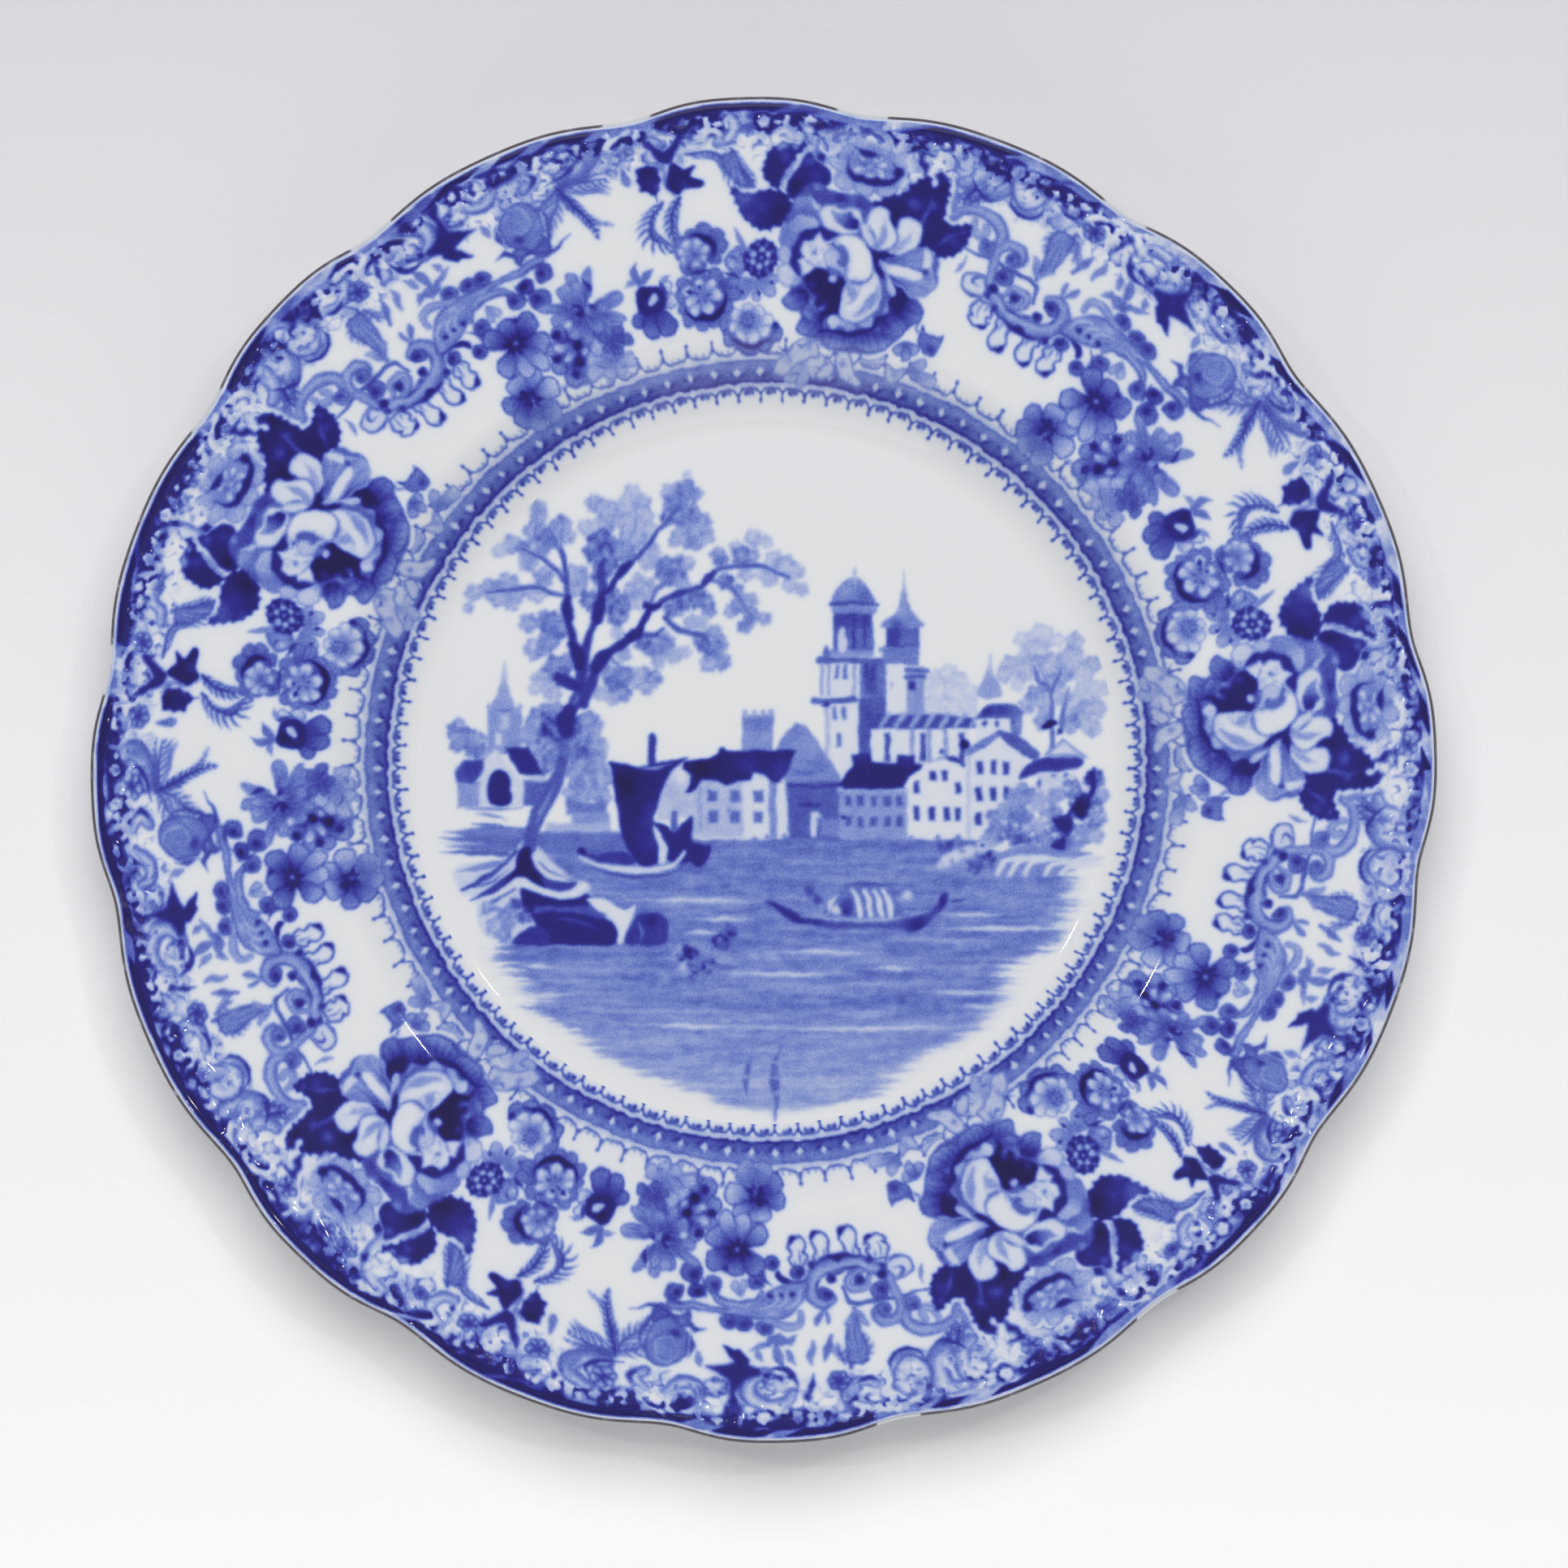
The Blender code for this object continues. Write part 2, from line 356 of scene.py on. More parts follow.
        # the ink at any points, between the grid's own
        if self.repeat:
            x = (x - self.xs[0]) % self.repeat + self.xs[0]
        u = np.clip((x - self.xs[0]) / (self.xs[1] - self.xs[0]), 0, len(self.xs) - 1.001)
        v = np.clip((y - self.ys[0]) / (self.ys[1] - self.ys[0]), 0, len(self.ys) - 1.001)
        i, j = u.astype(int), v.astype(int)
        fu, fv = u - i, v - j
        top = self.ink[j, i] * (1 - fu) + self.ink[j, i + 1] * fu
        low = self.ink[j + 1, i] * (1 - fu) + self.ink[j + 1, i + 1] * fu
        return top * (1 - fv) + low * fv


def inkPeony(s):
    # dark leaves behind
    s.shape([(-14.4, 113), (-12.6, 111.2), (-11, 111.5), (-9.2, 111.4), (-8, 110), (-7.4, 107.4),
        (-8.6, 104.6), (-9.8, 103.6), (-11.2, 103.2), (-12.7, 104.9), (-13.3, 107), (-13.9, 109.2)], .93,
        teeth=(18, .45), marks=[(-12.8, 110, 2.2, .68), (-11, 108, 1.6, .84), (-8.8, 107, 2.6, 1),
        (-12.4, 106, 1, .8)])
    s.shape([(-11.1, 115), (-10.8, 117.5), (-10.2, 119.5), (-9.4, 120.6), (-8, 120.4), (-6.9, 121.4),
        (-6.8, 119.8), (-7.4, 117.8), (-7.9, 116.2), (-8.6, 114.6), (-8.9, 113), (-9.1, 111), (-10, 111.5),
        (-10.7, 113)], .95, teeth=(16, .4), marks=[(-9.1, 119.6, .8, .35), (-7.9, 119.6, .5, .4),
        (-8.7, 117.5, 1, .8)])
    s.line([(-8.9, 111.6), (-8.7, 114), (-7.6, 117)], .8, .4, darken=False, soft=.4)
    s.shape([(-8.5, 111), (-8.3, 113.5), (-7.4, 116), (-6.6, 118.8), (-5.7, 117.3), (-4.6, 115.6),
        (-4.2, 113.4), (-4.9, 112.3), (-6.2, 111.9), (-6.6, 110.4), (-7.3, 109.5), (-8.2, 110)], .93,
        marks=[(-7.6, 112, 1.5, 1), (-5.6, 114.5, 1.2, .86), (-6.4, 117, .8, .7)])
    s.shape([(-0.3, 110.2), (0.6, 111.6), (1.6, 113), (2.6, 113.8), (3.4, 115.6), (4, 117.4), (5.2, 118.4),
        (5.8, 117), (6.3, 118.8), (7, 118.6), (7.5, 116), (7.6, 113.8), (7.7, 111.6), (8, 110.8),
        (9.2, 111.2), (10.5, 112), (10.7, 109.5), (10.5, 107), (10, 105.2), (9.3, 104), (8.2, 103.4),
        (7.4, 104.6), (5.7, 104), (5, 105), (3, 105), (1.6, 107)], .96, teeth=(34, .4),
        marks=[(4.4, 112.4, 1.1, .72), (6.2, 113, .7, .74), (7.2, 108, 1.4, .97), (9.2, 107.6, 1.3, .84),
        (8.8, 105.6, .9, .93), (2.6, 109.4, 1.3, 1.02), (6.6, 116.6, .8, 1), (4.4, 116.2, .6, 1),
        (9.8, 110, .7, .78)])
    s.lines(.5, .72, [(5.3, 106), (5.6, 110), (6, 114.6)], [(7.6, 105.6), (8.4, 107.6), (9.2, 109.4)],
        darken=False, soft=.35)
    # the flower's own ground, so that no glaze shows between the petals
    s.shape([(-8.8, 104.4), (-7.4, 110.2), (-6.2, 112.6), (-4, 111.8), (-1, 111.2), (.6, 110), (4, 106),
        (6, 104.2), (8, 104.2), (8.8, 101), (8.5, 97.2), (7.4, 95.4), (8.5, 93.4), (8.6, 91.4), (7.8, 89.6),
        (6.9, 87.2), (5.8, 84.6), (4.6, 82.8), (2, 82), (-1, 81.6), (-3, 82.6), (-4.8, 83.6), (-6.7, 85),
        (-6.2, 88), (-8.4, 89.6), (-7.6, 93), (-8.4, 96), (-8, 99), (-9, 102)], .66, soft=.4)
    # round outer petals, dark at their roots
    for outline, slope in (([(4.6, 90), (6.2, 94.8), (7.6, 94.4), (8.7, 92.4), (8.5, 90.4), (7.4, 89.4),
            (6, 89.2)], ((5.2, 93), (8.6, 91.4), .95, .56)), ([(3.4, 89), (5.4, 90.4), (7.4, 89.4),
            (7.1, 87.6), (6.2, 86.2), (4.8, 86)], ((4, 90), (6.6, 87.2), .93, .54)),
            ([(.6, 85.6), (3, 87), (5.6, 86.8), (6, 85), (5, 83.2), (3, 82.6), (1.2, 83.2)],
            ((3, 87.4), (4, 82.8), .9, .42)), ([(-3.4, 84.6), (-1.6, 85.4), (1, 85.2), (1.2, 83),
            (-.4, 81.8), (-2.4, 82)], ((-1, 85.8), (-1, 81.8), .84, .44)), ([(-6.8, 85.2), (-6, 87),
            (-4.6, 87.2), (-3.2, 86.2), (-3.4, 84.4), (-4.6, 83.6), (-6, 83.8)],
            ((-4, 87.6), (-6, 83.6), .86, .44)), ([(-8.6, 89.8), (-7.9, 91.9), (-7, 93.5), (-5.8, 92.8),
            (-5.2, 91), (-5.8, 89.2), (-7.4, 88.3)], ((-5.6, 92.4), (-8.2, 89), .95, .5)),
            ([(-6.2, 88.4), (-5.2, 89.2), (-4.2, 88.6), (-3.8, 87), (-5.2, 86.6)],
            ((-4, 89), (-6, 87), .8, .42))):
        (k0, r0), (k1, r1), t0, t1 = slope
        s.shape(outline, .5, edge=.28, edgeTone=.74, slope=((k0, r0, t0), (k1, r1, t1)),
            veins=(-.5, 94, 44, .045))
    s.line([(-3.6, 84.8), (-2.4, 85.2), (-.6, 85), (1.2, 85.6), (2.8, 87), (3.6, 88.8), (4.6, 90.6),
        (4.6, 93)], 1.5, .95, soft=.5, tips=(.5, .8))
    s.line([(-3.4, 85), (-3.5, 87.6), (-2.6, 88.8)], 1.4, .93, soft=.5)
    # dark openings
    s.shape([(4.5, 96.6), (5.6, 96), (6.5, 94.6), (6.3, 92.4), (5.4, 91.2), (4.6, 92.6), (4.3, 94.6)], .98,
        soft=.45)
    s.shape([(-7.5, 95.6), (-7.8, 99), (-7.2, 101.8), (-6.8, 103.6), (-5.4, 105), (-3.6, 104.6),
        (-2.4, 103.8), (-3.8, 102.4), (-5.4, 102), (-6.6, 100), (-6.8, 98), (-6.7, 95.2)], .93, soft=.45)
    # upper and left petals, light at their tips
    s.shape([(-9, 100.8), (-9.1, 103), (-8.3, 105.2), (-7.4, 106.9), (-6.4, 107.1), (-5.2, 106.4),
        (-5, 104.9), (-6.4, 104), (-7.2, 102.6), (-7.8, 100.6)], .4, slope=((-8.6, 103.6, .5),
        (-6, 106.4, .24)), edge=.25, edgeTone=.55)
    s.shape([(-7.7, 107.2), (-7.7, 109.6), (-6.8, 110.8), (-5.7, 110.6), (-5, 108.8), (-4.8, 107.2),
        (-5.6, 106.6), (-6.8, 106.9)], .45, slope=((-6.2, 107, .62), (-6.6, 110.8, .36)), edge=.25,
        edgeTone=.6)
    s.line([(-6, 110), (-5.3, 108.9), (-4.9, 107.4)], .8, .16, darken=False, soft=.35)
    s.shape([(-9.4, 99.4), (-8.6, 101.4), (-7.8, 100.2), (-7.7, 98.2), (-8.2, 96.6), (-9, 97.4)], .24,
        edge=.25, edgeTone=.5)
    s.shape([(-9.4, 96.2), (-8.3, 97.4), (-7.2, 96), (-6.4, 94.6), (-6.8, 93.2), (-8.2, 92.6), (-9.2, 94)],
        .14, edge=.25, edgeTone=.45, marks=[(-7, 94.4, .8, .4)])
    s.shape([(-6.4, 112.4), (-5.2, 113.2), (-4.2, 112.2), (-2.8, 111.6), (-1.2, 111.8), (.2, 110.8),
        (.2, 108.8), (-1, 109.6), (-2.2, 110), (-4, 109.8), (-5, 109), (-6, 110.6)], .74,
        marks=[(-5.4, 112.4, .8, .42), (-3, 110.4, 1.2, .88), (-.8, 109.6, .8, .84), (-2, 111.6, .8, .5)])
    s.shape([(-5.1, 107.4), (-4.4, 108.9), (-3.6, 109.3), (-2.8, 108.7), (-1.8, 109.3), (-1, 109),
        (-.5, 107.4), (-.6, 106), (-1, 104.4), (-2.4, 103.9), (-3.8, 104.3), (-4.7, 105.4)], .06, shadow=.8,
        edge=.2, edgeTone=.3)
    s.shape([(-3.8, 108.3), (-3, 107.9), (-2.3, 108.2), (-1.8, 108.6), (-1.5, 107.4), (-.9, 106.7),
        (-.8, 105.5), (-1.5, 105), (-2.6, 105.5), (-3.4, 106.6)], .7,
        slope=((-3.6, 106.8, .42), (-1, 106, .96)), soft=.35)
    s.shape([(-.9, 106.2), (-.2, 107), (.8, 105.4), (1.6, 103.2), (1.1, 101.9), (.1, 103.6), (-.5, 104.8)],
        .1, edge=.2, edgeTone=.4)
    s.shape([(-.1, 106.4), (0, 108.4), (.4, 109.9), (1.2, 110.7), (2, 110.1), (2.25, 108.6), (2.7, 107.2),
        (3.4, 105.8), (3.5, 104.4), (3, 102.8), (2, 102), (1.3, 102.6), (.6, 104.6)], .05, shadow=.8,
        edge=.2, edgeTone=.28)
    s.line([(1.7, 108.2), (1.8, 106.4), (1.9, 104.6), (1.5, 102.6)], .9, .4, soft=.55, tips=(.1, 1))
    s.line([(.2, 106.4), (.9, 104.8), (1.5, 103)], .3, .6, soft=.3)
    s.shape([(3.3, 108.4), (3.8, 109.5), (4.6, 109.6), (5.4, 108.8), (5.9, 107.2), (5.8, 105.2),
        (5.2, 103.6), (4.2, 102), (3.1, 101.4), (2.9, 102.4), (3.5, 103.6), (3.5, 105.2), (3.3, 106.6)],
        .06, shadow=.8, edge=.2, edgeTone=.28)
    s.line([(4.9, 107.4), (4.6, 105.4), (4, 103.6), (3.4, 102.4)], .8, .34, soft=.5, tips=(.1, 1))
    s.line([(3.6, 105.6), (3.7, 104.2), (3.3, 102.8)], .6, .4, soft=.4)
    # the joint of the petals
    s.shape([(.2, 102.9), (1.2, 102), (2, 101.8), (3, 102), (4.2, 101.6), (3, 100.5), (2.3, 100),
        (2.1, 99.3), (2.7, 98.6), (3.4, 97.8), (2.8, 96.8), (2.1, 98), (1.6, 99.6), (.9, 101)], .98)
    s.shape([(2.6, 100.8), (4, 101.8), (5.2, 103.6), (6, 104.6), (6.9, 104.4), (6.9, 102.6), (6.8, 100.6),
        (5, 100.1), (3.4, 100.1)], .5, slope=((2.6, 100.4, .74), (6, 103, .44)), edge=.2, edgeTone=.6,
        veins=(1.4, 100, 34, .06))
    s.shape([(6.6, 104.4), (7.4, 104.7), (7.9, 103.4), (7.9, 101.8), (7.4, 100.8), (6.8, 100.8),
        (6.6, 102.4)], .08, edge=.2, edgeTone=.35)
    s.shape([(3, 98), (5, 98), (6.6, 98.4), (7.3, 99.8), (7.9, 101.4), (8.6, 99.4), (8.7, 97), (7.9, 95.2),
        (6.4, 95.2), (5.2, 96.2), (4, 96.8)], .5, slope=((3.4, 97, .84), (7.4, 97.6, .42)), edge=.25,
        edgeTone=.3, veins=(1, 99, 36, .05))
    s.line([(7.8, 104), (8.4, 102), (8.9, 99.6), (8.7, 97), (7.8, 95.2)], .4, .6, soft=.3)
    s.shape([(2.1, 100.4), (3.4, 99.9), (5, 100.2), (6.8, 100.1), (7.3, 99.4), (6.6, 98.5), (5.2, 98.1),
        (3.6, 98.1), (2.8, 98.8)], .05, slope=((2.4, 99.4, .3), (4, 99.2, .04)), shadow=.5, shadowTone=.7)
    s.dots((7.35, 100.3, .45, .82), soft=.3)
    s.shape([(3.5, 97.6), (4.2, 96.7), (4.8, 95), (4.6, 94.1), (4.1, 94.4), (3.7, 95.8)], .2, shadow=.5)
    s.line([(3.9, 90), (4.3, 91), (4, 92.6)], .9, .5, darken=False, soft=.4)
    # the heart
    s.shape([(-6.1, 95.6), (-5, 96.9), (-3.8, 96.9), (-2.9, 96), (-1.5, 95.6), (-1.1, 94), (-1.2, 91),
        (-1.4, 88.8), (-2.3, 88.2), (-3.5, 87.8), (-4, 89.2), (-4.9, 91.4), (-5.8, 93.2)], 1.0, soft=.4,
        marks=[(-4.6, 91.2, .8, .66), (-3.4, 89.8, .6, .74), (-5.2, 93.4, .8, .86)])
    s.dots((-2.8, 95.2, .75, .16), (-4.9, 90.6, .5, .5), (-3.7, 89.2, .45, .56), soft=.35)
    # ruffles and the bud
    s.shape([(-6.8, 99.8), (-6.5, 101.6), (-5.5, 102.1), (-4.8, 103.8), (-4.3, 102.4), (-3.4, 102),
        (-3, 100), (-3.3, 98), (-3.9, 97.1), (-5, 96.9), (-5.6, 95.7), (-6.5, 95.5), (-6.5, 97), (-7, 98),
        (-6.4, 98.8)], .06, edge=.2, edgeTone=.26, marks=[(-5.2, 99.6, .6, .62), (-5.7, 97.8, .5, .3),
        (-4.6, 98, .6, .3), (-5.8, 100.8, .4, .24), (-4.3, 100.6, .4, .3)])
    s.lines(.3, .42, [(-5.2, 101.6), (-5.1, 100.2), (-5.4, 98.8)], [(-6.3, 98.6), (-5.6, 97.4),
        (-4.6, 97.2)], soft=.3)
    s.shape([(-4.1, 99.4), (-3.6, 100.8), (-2.8, 100.8), (-2.2, 99.6), (-2.3, 98), (-1.6, 97.4),
        (-1.3, 95.9), (-2.5, 96.8), (-3.8, 98)], .2, edge=.22, edgeTone=.4)
    s.shape([(-4.1, 101.8), (-3.1, 103.3), (-1.8, 104), (-.6, 103.9), (.3, 103), (1, 101.4), (1.5, 99.8),
        (1.8, 98), (1.6, 96.4), (.8, 95.1), (-.4, 94.6), (-1.3, 95.5), (-1.4, 97.4), (-1.2, 99.2),
        (-1.6, 100.8), (-2.4, 101.8), (-3.2, 101.3)], .03, shadow=.7, shadowTone=.75, edge=.22,
        edgeTone=.24, marks=[(-.2, 94.9, .9, .42), (-1.3, 97.2, .7, .3), (-3.2, 102.4, .8, .36),
        (-1.7, 100.4, .7, .26), (-1.1, 99, .5, .22)])
    s.line([(-3.9, 101.5), (-3.3, 101.6), (-2.7, 100.9)], .7, .68, soft=.35)
    s.line([(-2.4, 99.4), (-2.3, 98.5), (-1.9, 97.9)], .6, .66, soft=.35)
    s.lines(.3, .4, [(-1.3, 97.6), (-1.2, 96), (-.5, 95)], [(-4.2, 98.2), (-3.2, 97.2), (-2, 96.6)],
        [(1.2, 96.2), (.6, 95.4), (-.2, 95.2)], soft=.35)
    # the bowl under the bud
    s.shape([(1.8, 98.2), (2.5, 97), (3.1, 95.4), (3.35, 93.4), (3.2, 91.2), (2.5, 89.3), (1.4, 88),
        (.2, 87.5), (-.9, 87.8), (-1.5, 89), (-1.4, 91.4), (-1.3, 93.6), (-1, 95.1), (0, 94.7), (1, 95.1),
        (1.6, 96.4)], .1, shadow=.8, shadowTone=.9, edge=.24, edgeTone=.36)
    s.line([(-.9, 94.3), (-.3, 93.4), (.2, 92), (-.7, 90.6)], 1.9, .4, soft=.7, tips=(.5, .1))
    s.line([(2.7, 95.4), (2.5, 93.4), (1.8, 91), (.7, 89)], 1.5, .42, soft=.6, tips=(.3, .3))
    s.line([(2.2, 96.8), (1.7, 94.6), (.8, 92.2), (-.4, 89.8)], 1.3, .05, darken=False, soft=.55,
        tips=(.4, .8))
    s.lines(.2, .4, [(2.95, 95), (2.9, 93), (2.4, 91), (1.5, 89)], [(.9, 94.4), (.5, 92.8), (-.2, 91)],
        soft=.3)
    s.shape([(-2.7, 87.3), (-2.1, 88.3), (-.8, 87.6), (.6, 87.2), (1.1, 86.6), (.2, 85.9), (-1, 86.3),
        (-2.2, 85.7)], .2, slope=((-2.4, 87, .12), (.8, 86.8, .4)))
    s.shape([(1.2, 87.5), (2, 88.5), (2.8, 89.3), (3.1, 88), (2.7, 87.1), (1.8, 86.9)], .28, edge=.2,
        edgeTone=.5)


def inkPosies(s):
    # ball of dots left of the peony, with its own leaves
    s.shape([(-15.4, 98.6), (-14.6, 99.8), (-13.6, 100.6), (-12.8, 98.5), (-13.2, 95.8), (-14.2, 95),
        (-15.1, 96.8)], .45, edge=.4, edgeTone=.68, marks=[(-14.6, 97.2, .6, .16), (-13.8, 96, .6, .6)])
    s.line([(-13.9, 104.2), (-13.5, 102), (-12.9, 99.8)], 1.1, .5, tips=(.2, .6))
    s.line([(-14.9, 99.2), (-14.1, 98.4), (-13.9, 97.2)], .7, .72)
    s.petals((-12, 94.6), .62, .3, (-14.9, 93.4, 2.6), (-14, 90.8, 2.4), (-11.8, 90, 2.2),
        (-9.6, 91.4, 2.4), (-9.2, 94.2, 2.2), edgeTone=.55)
    s.lines(.8, .85, [(-13.7, 92.6), (-13.4, 91.2)], [(-11.7, 92.6), (-11.3, 91)],
        [(-10.4, 94), (-9.7, 93.2)])
    s.shape([(-13.3, 98), (-12.9, 100), (-12.2, 101.6), (-10.9, 102.2), (-9.8, 101.3), (-9.2, 99.2),
        (-9.2, 97), (-10, 95.4), (-11, 94.4), (-12, 94.7), (-13, 96)], .93, teeth=(14, .35),
        marks=[(-11.2, 98.4, .5, 1)])
    for count, across, high, size, tone in ((6, .95, 1.6, .62, .22), (9, 1.5, 2.8, .34, .5)):
        for a in np.arange(count) * 2 * np.pi / count + .4:
            s.dot(-11.25 + across * np.cos(a), 98.3 + high * np.sin(a), size, tone, soft=.35)
    s.dot(-11.25, 98.3, .3, .3)
    # white flower low on the left, over the band
    s.petals((-13, 86), .9, .5, (-16.6, 85.6, 4), (-16.2, 82.6, 4), (-13, 80.2, 5), (-10, 81, 4.6),
        (-8.6, 83.6, 4), edgeTone=.8)
    s.line([(-15.9, 85.4), (-15.4, 83.4), (-14, 82), (-11.6, 81.8), (-9.9, 82.8), (-9.4, 84.8)], 1.3, .95,
        soft=.6)
    s.petals((-12.9, 86.4), .72, .03, (-15.6, 85.2, 2.8), (-14.2, 82.6, 3.4), (-12, 82.3, 3.6),
        (-10.2, 83.9, 3.2), (-9.7, 86.6, 2.8), (-10.9, 88.8, 2.6), (-13, 89.6, 2.8), (-15.2, 88.4, 2.8),
        edgeTone=.42)
    for a in np.arange(11) * .571 + .2:
        s.line([(-13 + .3 * np.cos(a), 86.6 + .4 * np.sin(a)), (-13 + 1.3 * np.cos(a),
            86.6 + 2 * np.sin(a))], .34, .8)
    s.dots((-13, 86.6, .6, .62), (-9.4, 85.4, .8, .9), (-15.4, 87.2, .6, .5))
    # double flower above
    s.petals((-18, 100.6), .98, .55, (-20.8, 100.4, 3), (-20.5, 103.2, 3), (-18.9, 104.6, 3),
        (-17, 105.4, 3.4), (-15.3, 103.8, 3), (-14.9, 101, 2.8), (-15.8, 98, 2.6), (-18.2, 96.4, 3),
        (-20.2, 97, 3))
    s.line([(-19.6, 103.3), (-18, 103.4), (-16.7, 102), (-16.4, 99.6), (-16.9, 97.8)], 1.6, .98, soft=.5)
    s.petals((-18.6, 99.8), .66, .08, (-20.5, 101.2, 2.2), (-19.6, 103, 2.2), (-18, 102.9, 2.2),
        (-16.9, 101.3, 2.2), (-17.2, 99, 2), (-20.3, 98.8, 2.2), (-18.5, 97.4, 2.2), edgeTone=.5)
    s.dots((-19.4, 98.9, .8, .62), (-18.6, 100, .6, .66), (-19.5, 97.6, .5, .78))
    # double flower below
    s.petals((-18.2, 91.4), .98, .52, (-21.4, 92.6, 3.4), (-20.9, 95.4, 3), (-18.6, 96.8, 3.4),
        (-16, 96.4, 3.4), (-13.9, 94.4, 3.2), (-13.8, 91.6, 3), (-14.9, 88.8, 3.2), (-17, 85.6, 3.6),
        (-19.1, 85.3, 3.4), (-21.1, 86.9, 3.2), (-21.4, 89.8, 3))
    s.line([(-20.8, 92), (-20.5, 89), (-19, 87.8), (-17, 87.9), (-15.9, 89.6), (-15.6, 92), (-16.1, 93.8)],
        1.7, 1, soft=.55)
    s.petals((-18.5, 92), .6, .05, (-19.8, 88.5, 2.6), (-17.5, 88.4, 2.8), (-15.9, 91.7, 2.8),
        (-16.6, 94.6, 2.4), (-18.6, 95.4, 2.4), (-20.6, 93.6, 2.6), (-20.6, 90.8, 2.2), edgeTone=.5)
    s.lines(.4, .8, [(-18.5, 92.2), (-19.2, 90.2)], [(-18.4, 92.2), (-17.9, 90)],
        [(-18.3, 92), (-17, 91.8)], [(-18.5, 92.2), (-19.8, 93)])
    s.lines(.9, .9, [(-20.2, 93.2), (-19.4, 92.6)], [(-18.8, 94), (-18.4, 93.2)])
    s.lines(.7, .85, [(-20.4, 96.2), (-18, 96.6), (-16.6, 96)], [(-15.6, 96.2), (-14.2, 94.9),
        (-13.6, 93.6)])
    # pansy with a dark heart
    s.petals((-24.6, 92), .92, .58, (-27.3, 89, 3.2), (-25.5, 85.9, 4.2), (-22.7, 85.9, 4.4), edgeTone=.84,
        edge=.3)
    s.petals((-24, 91), .6, .08, (-21.5, 92.4, 2.8), (-21.9, 95.6, 2.4), edgeTone=.6)
    s.shape([(-26.4, 93.4), (-25.6, 95.9), (-24.4, 95.7), (-23, 94.4), (-22.8, 92), (-23.6, 90.3),
        (-25.2, 90.2), (-26.2, 91.4)], .93, marks=[(-25, 94.4, 1.1, 1), (-24.6, 91.4, .8, .95)])
    s.shape([(-25, 92.3), (-24.6, 93.5), (-23.9, 93.8), (-23.7, 92.8), (-24.4, 91.9)], .14)
    s.lines(1.3, .6, [(-25.1, 100.8), (-25.6, 99), (-25.4, 96.6)], [(-23.4, 98.7), (-24.3, 98.2),
        (-24.9, 96.8)], tips=(.2, .8))
    s.lines(1.1, .46, [(-27.1, 96.4), (-26.2, 97), (-25.4, 97)], [(-21.7, 97), (-22.5, 96.4), (-23, 95.2)],
        tips=(.2, .8))
    s.line([(-23, 96.2), (-22.9, 94.6), (-22.4, 93)], 1.1, .78)
    # star flower
    s.petals((-32.4, 94.6), .85, .42, (-36.9, 98.8, 2.2), (-34.2, 101, 2.8), (-32.4, 102.6, 2.6),
        (-30.2, 102.6, 2), (-27.6, 95.2, 3), (-28.1, 90.8, 2.2), (-29.9, 90.6, 2), (-31.2, 90.2, 2.8),
        (-33.4, 88.8, 2.6), (-35.2, 91, 3), (-36.4, 95.4, 2.6), edgeTone=.62)
    s.petals((-32.4, 95.4), .8, .34, (-33.6, 101, 2.6), (-32.2, 100.8, 2.2), edgeTone=.6)
    s.lines(1, .88, [(-34, 96.4), (-32.8, 96.2), (-32.5, 93.4)], [(-31.6, 96), (-31.2, 94.4)],
        [(-31.4, 101.4), (-30.9, 99), (-31, 97.4)])
    s.dots((-34.8, 93.6, .8, .08), (-33, 94.8, .6, .96), (-32, 94.9, .5, .4), (-30.2, 94.2, .8, .5))
    # clover and the pale flower under it
    s.petals((-31, 84.4), .5, .24, (-34.4, 85.8, 3.6), (-33, 88.4, 3.4), (-33, 81.2, 3.6),
        (-30.4, 80.8, 3.6), (-28.4, 82.4, 3.4), (-35.2, 83, 3.2), edgeTone=.5)
    s.lines(.5, .66, [(-34, 84.9), (-32.8, 83.6), (-31.4, 82.4)], [(-32.8, 86.4), (-32, 85.2)],
        [(-30.9, 82.4), (-30, 82.2), (-29.4, 83)])
    s.petals((-30.2, 87), .82, .6, (-31.8, 89.6, 2.6), (-29.2, 89.8, 2.8), (-28, 86.8, 2.6),
        (-30.4, 84.6, 2.8), (-32, 86.6, 2.2), edgeTone=.74)
    # buds right of the peony
    s.shape([(9, 90.4), (10, 89.5), (11.2, 89.4), (11.9, 90.2), (12.1, 87), (11.6, 85.6), (10.6, 85.2),
        (9.9, 86), (9.2, 87.4)], .56, edge=.35, edgeTone=.74, marks=[(11, 86.8, 1, .84),
        (9.6, 88.6, .6, .66), (11.8, 88.2, .5, .4)])
    s.petals((7.6, 86.4), .74, .3, (9.6, 85.2, 2.6), (8.6, 83, 2.6), (6.8, 83.6, 2.4), edgeTone=.66)
    s.line([(9, 90.3), (9.6, 89.4)], .6, .8)
    s.petals((9, 81.4), .6, .26, (11.2, 83.8, 2.4), (13.4, 80.8, 2.8), edgeTone=.52)
    s.line([(9.1, 88.6), (8.4, 89.4), (8.6, 90.4)], .35, .5)


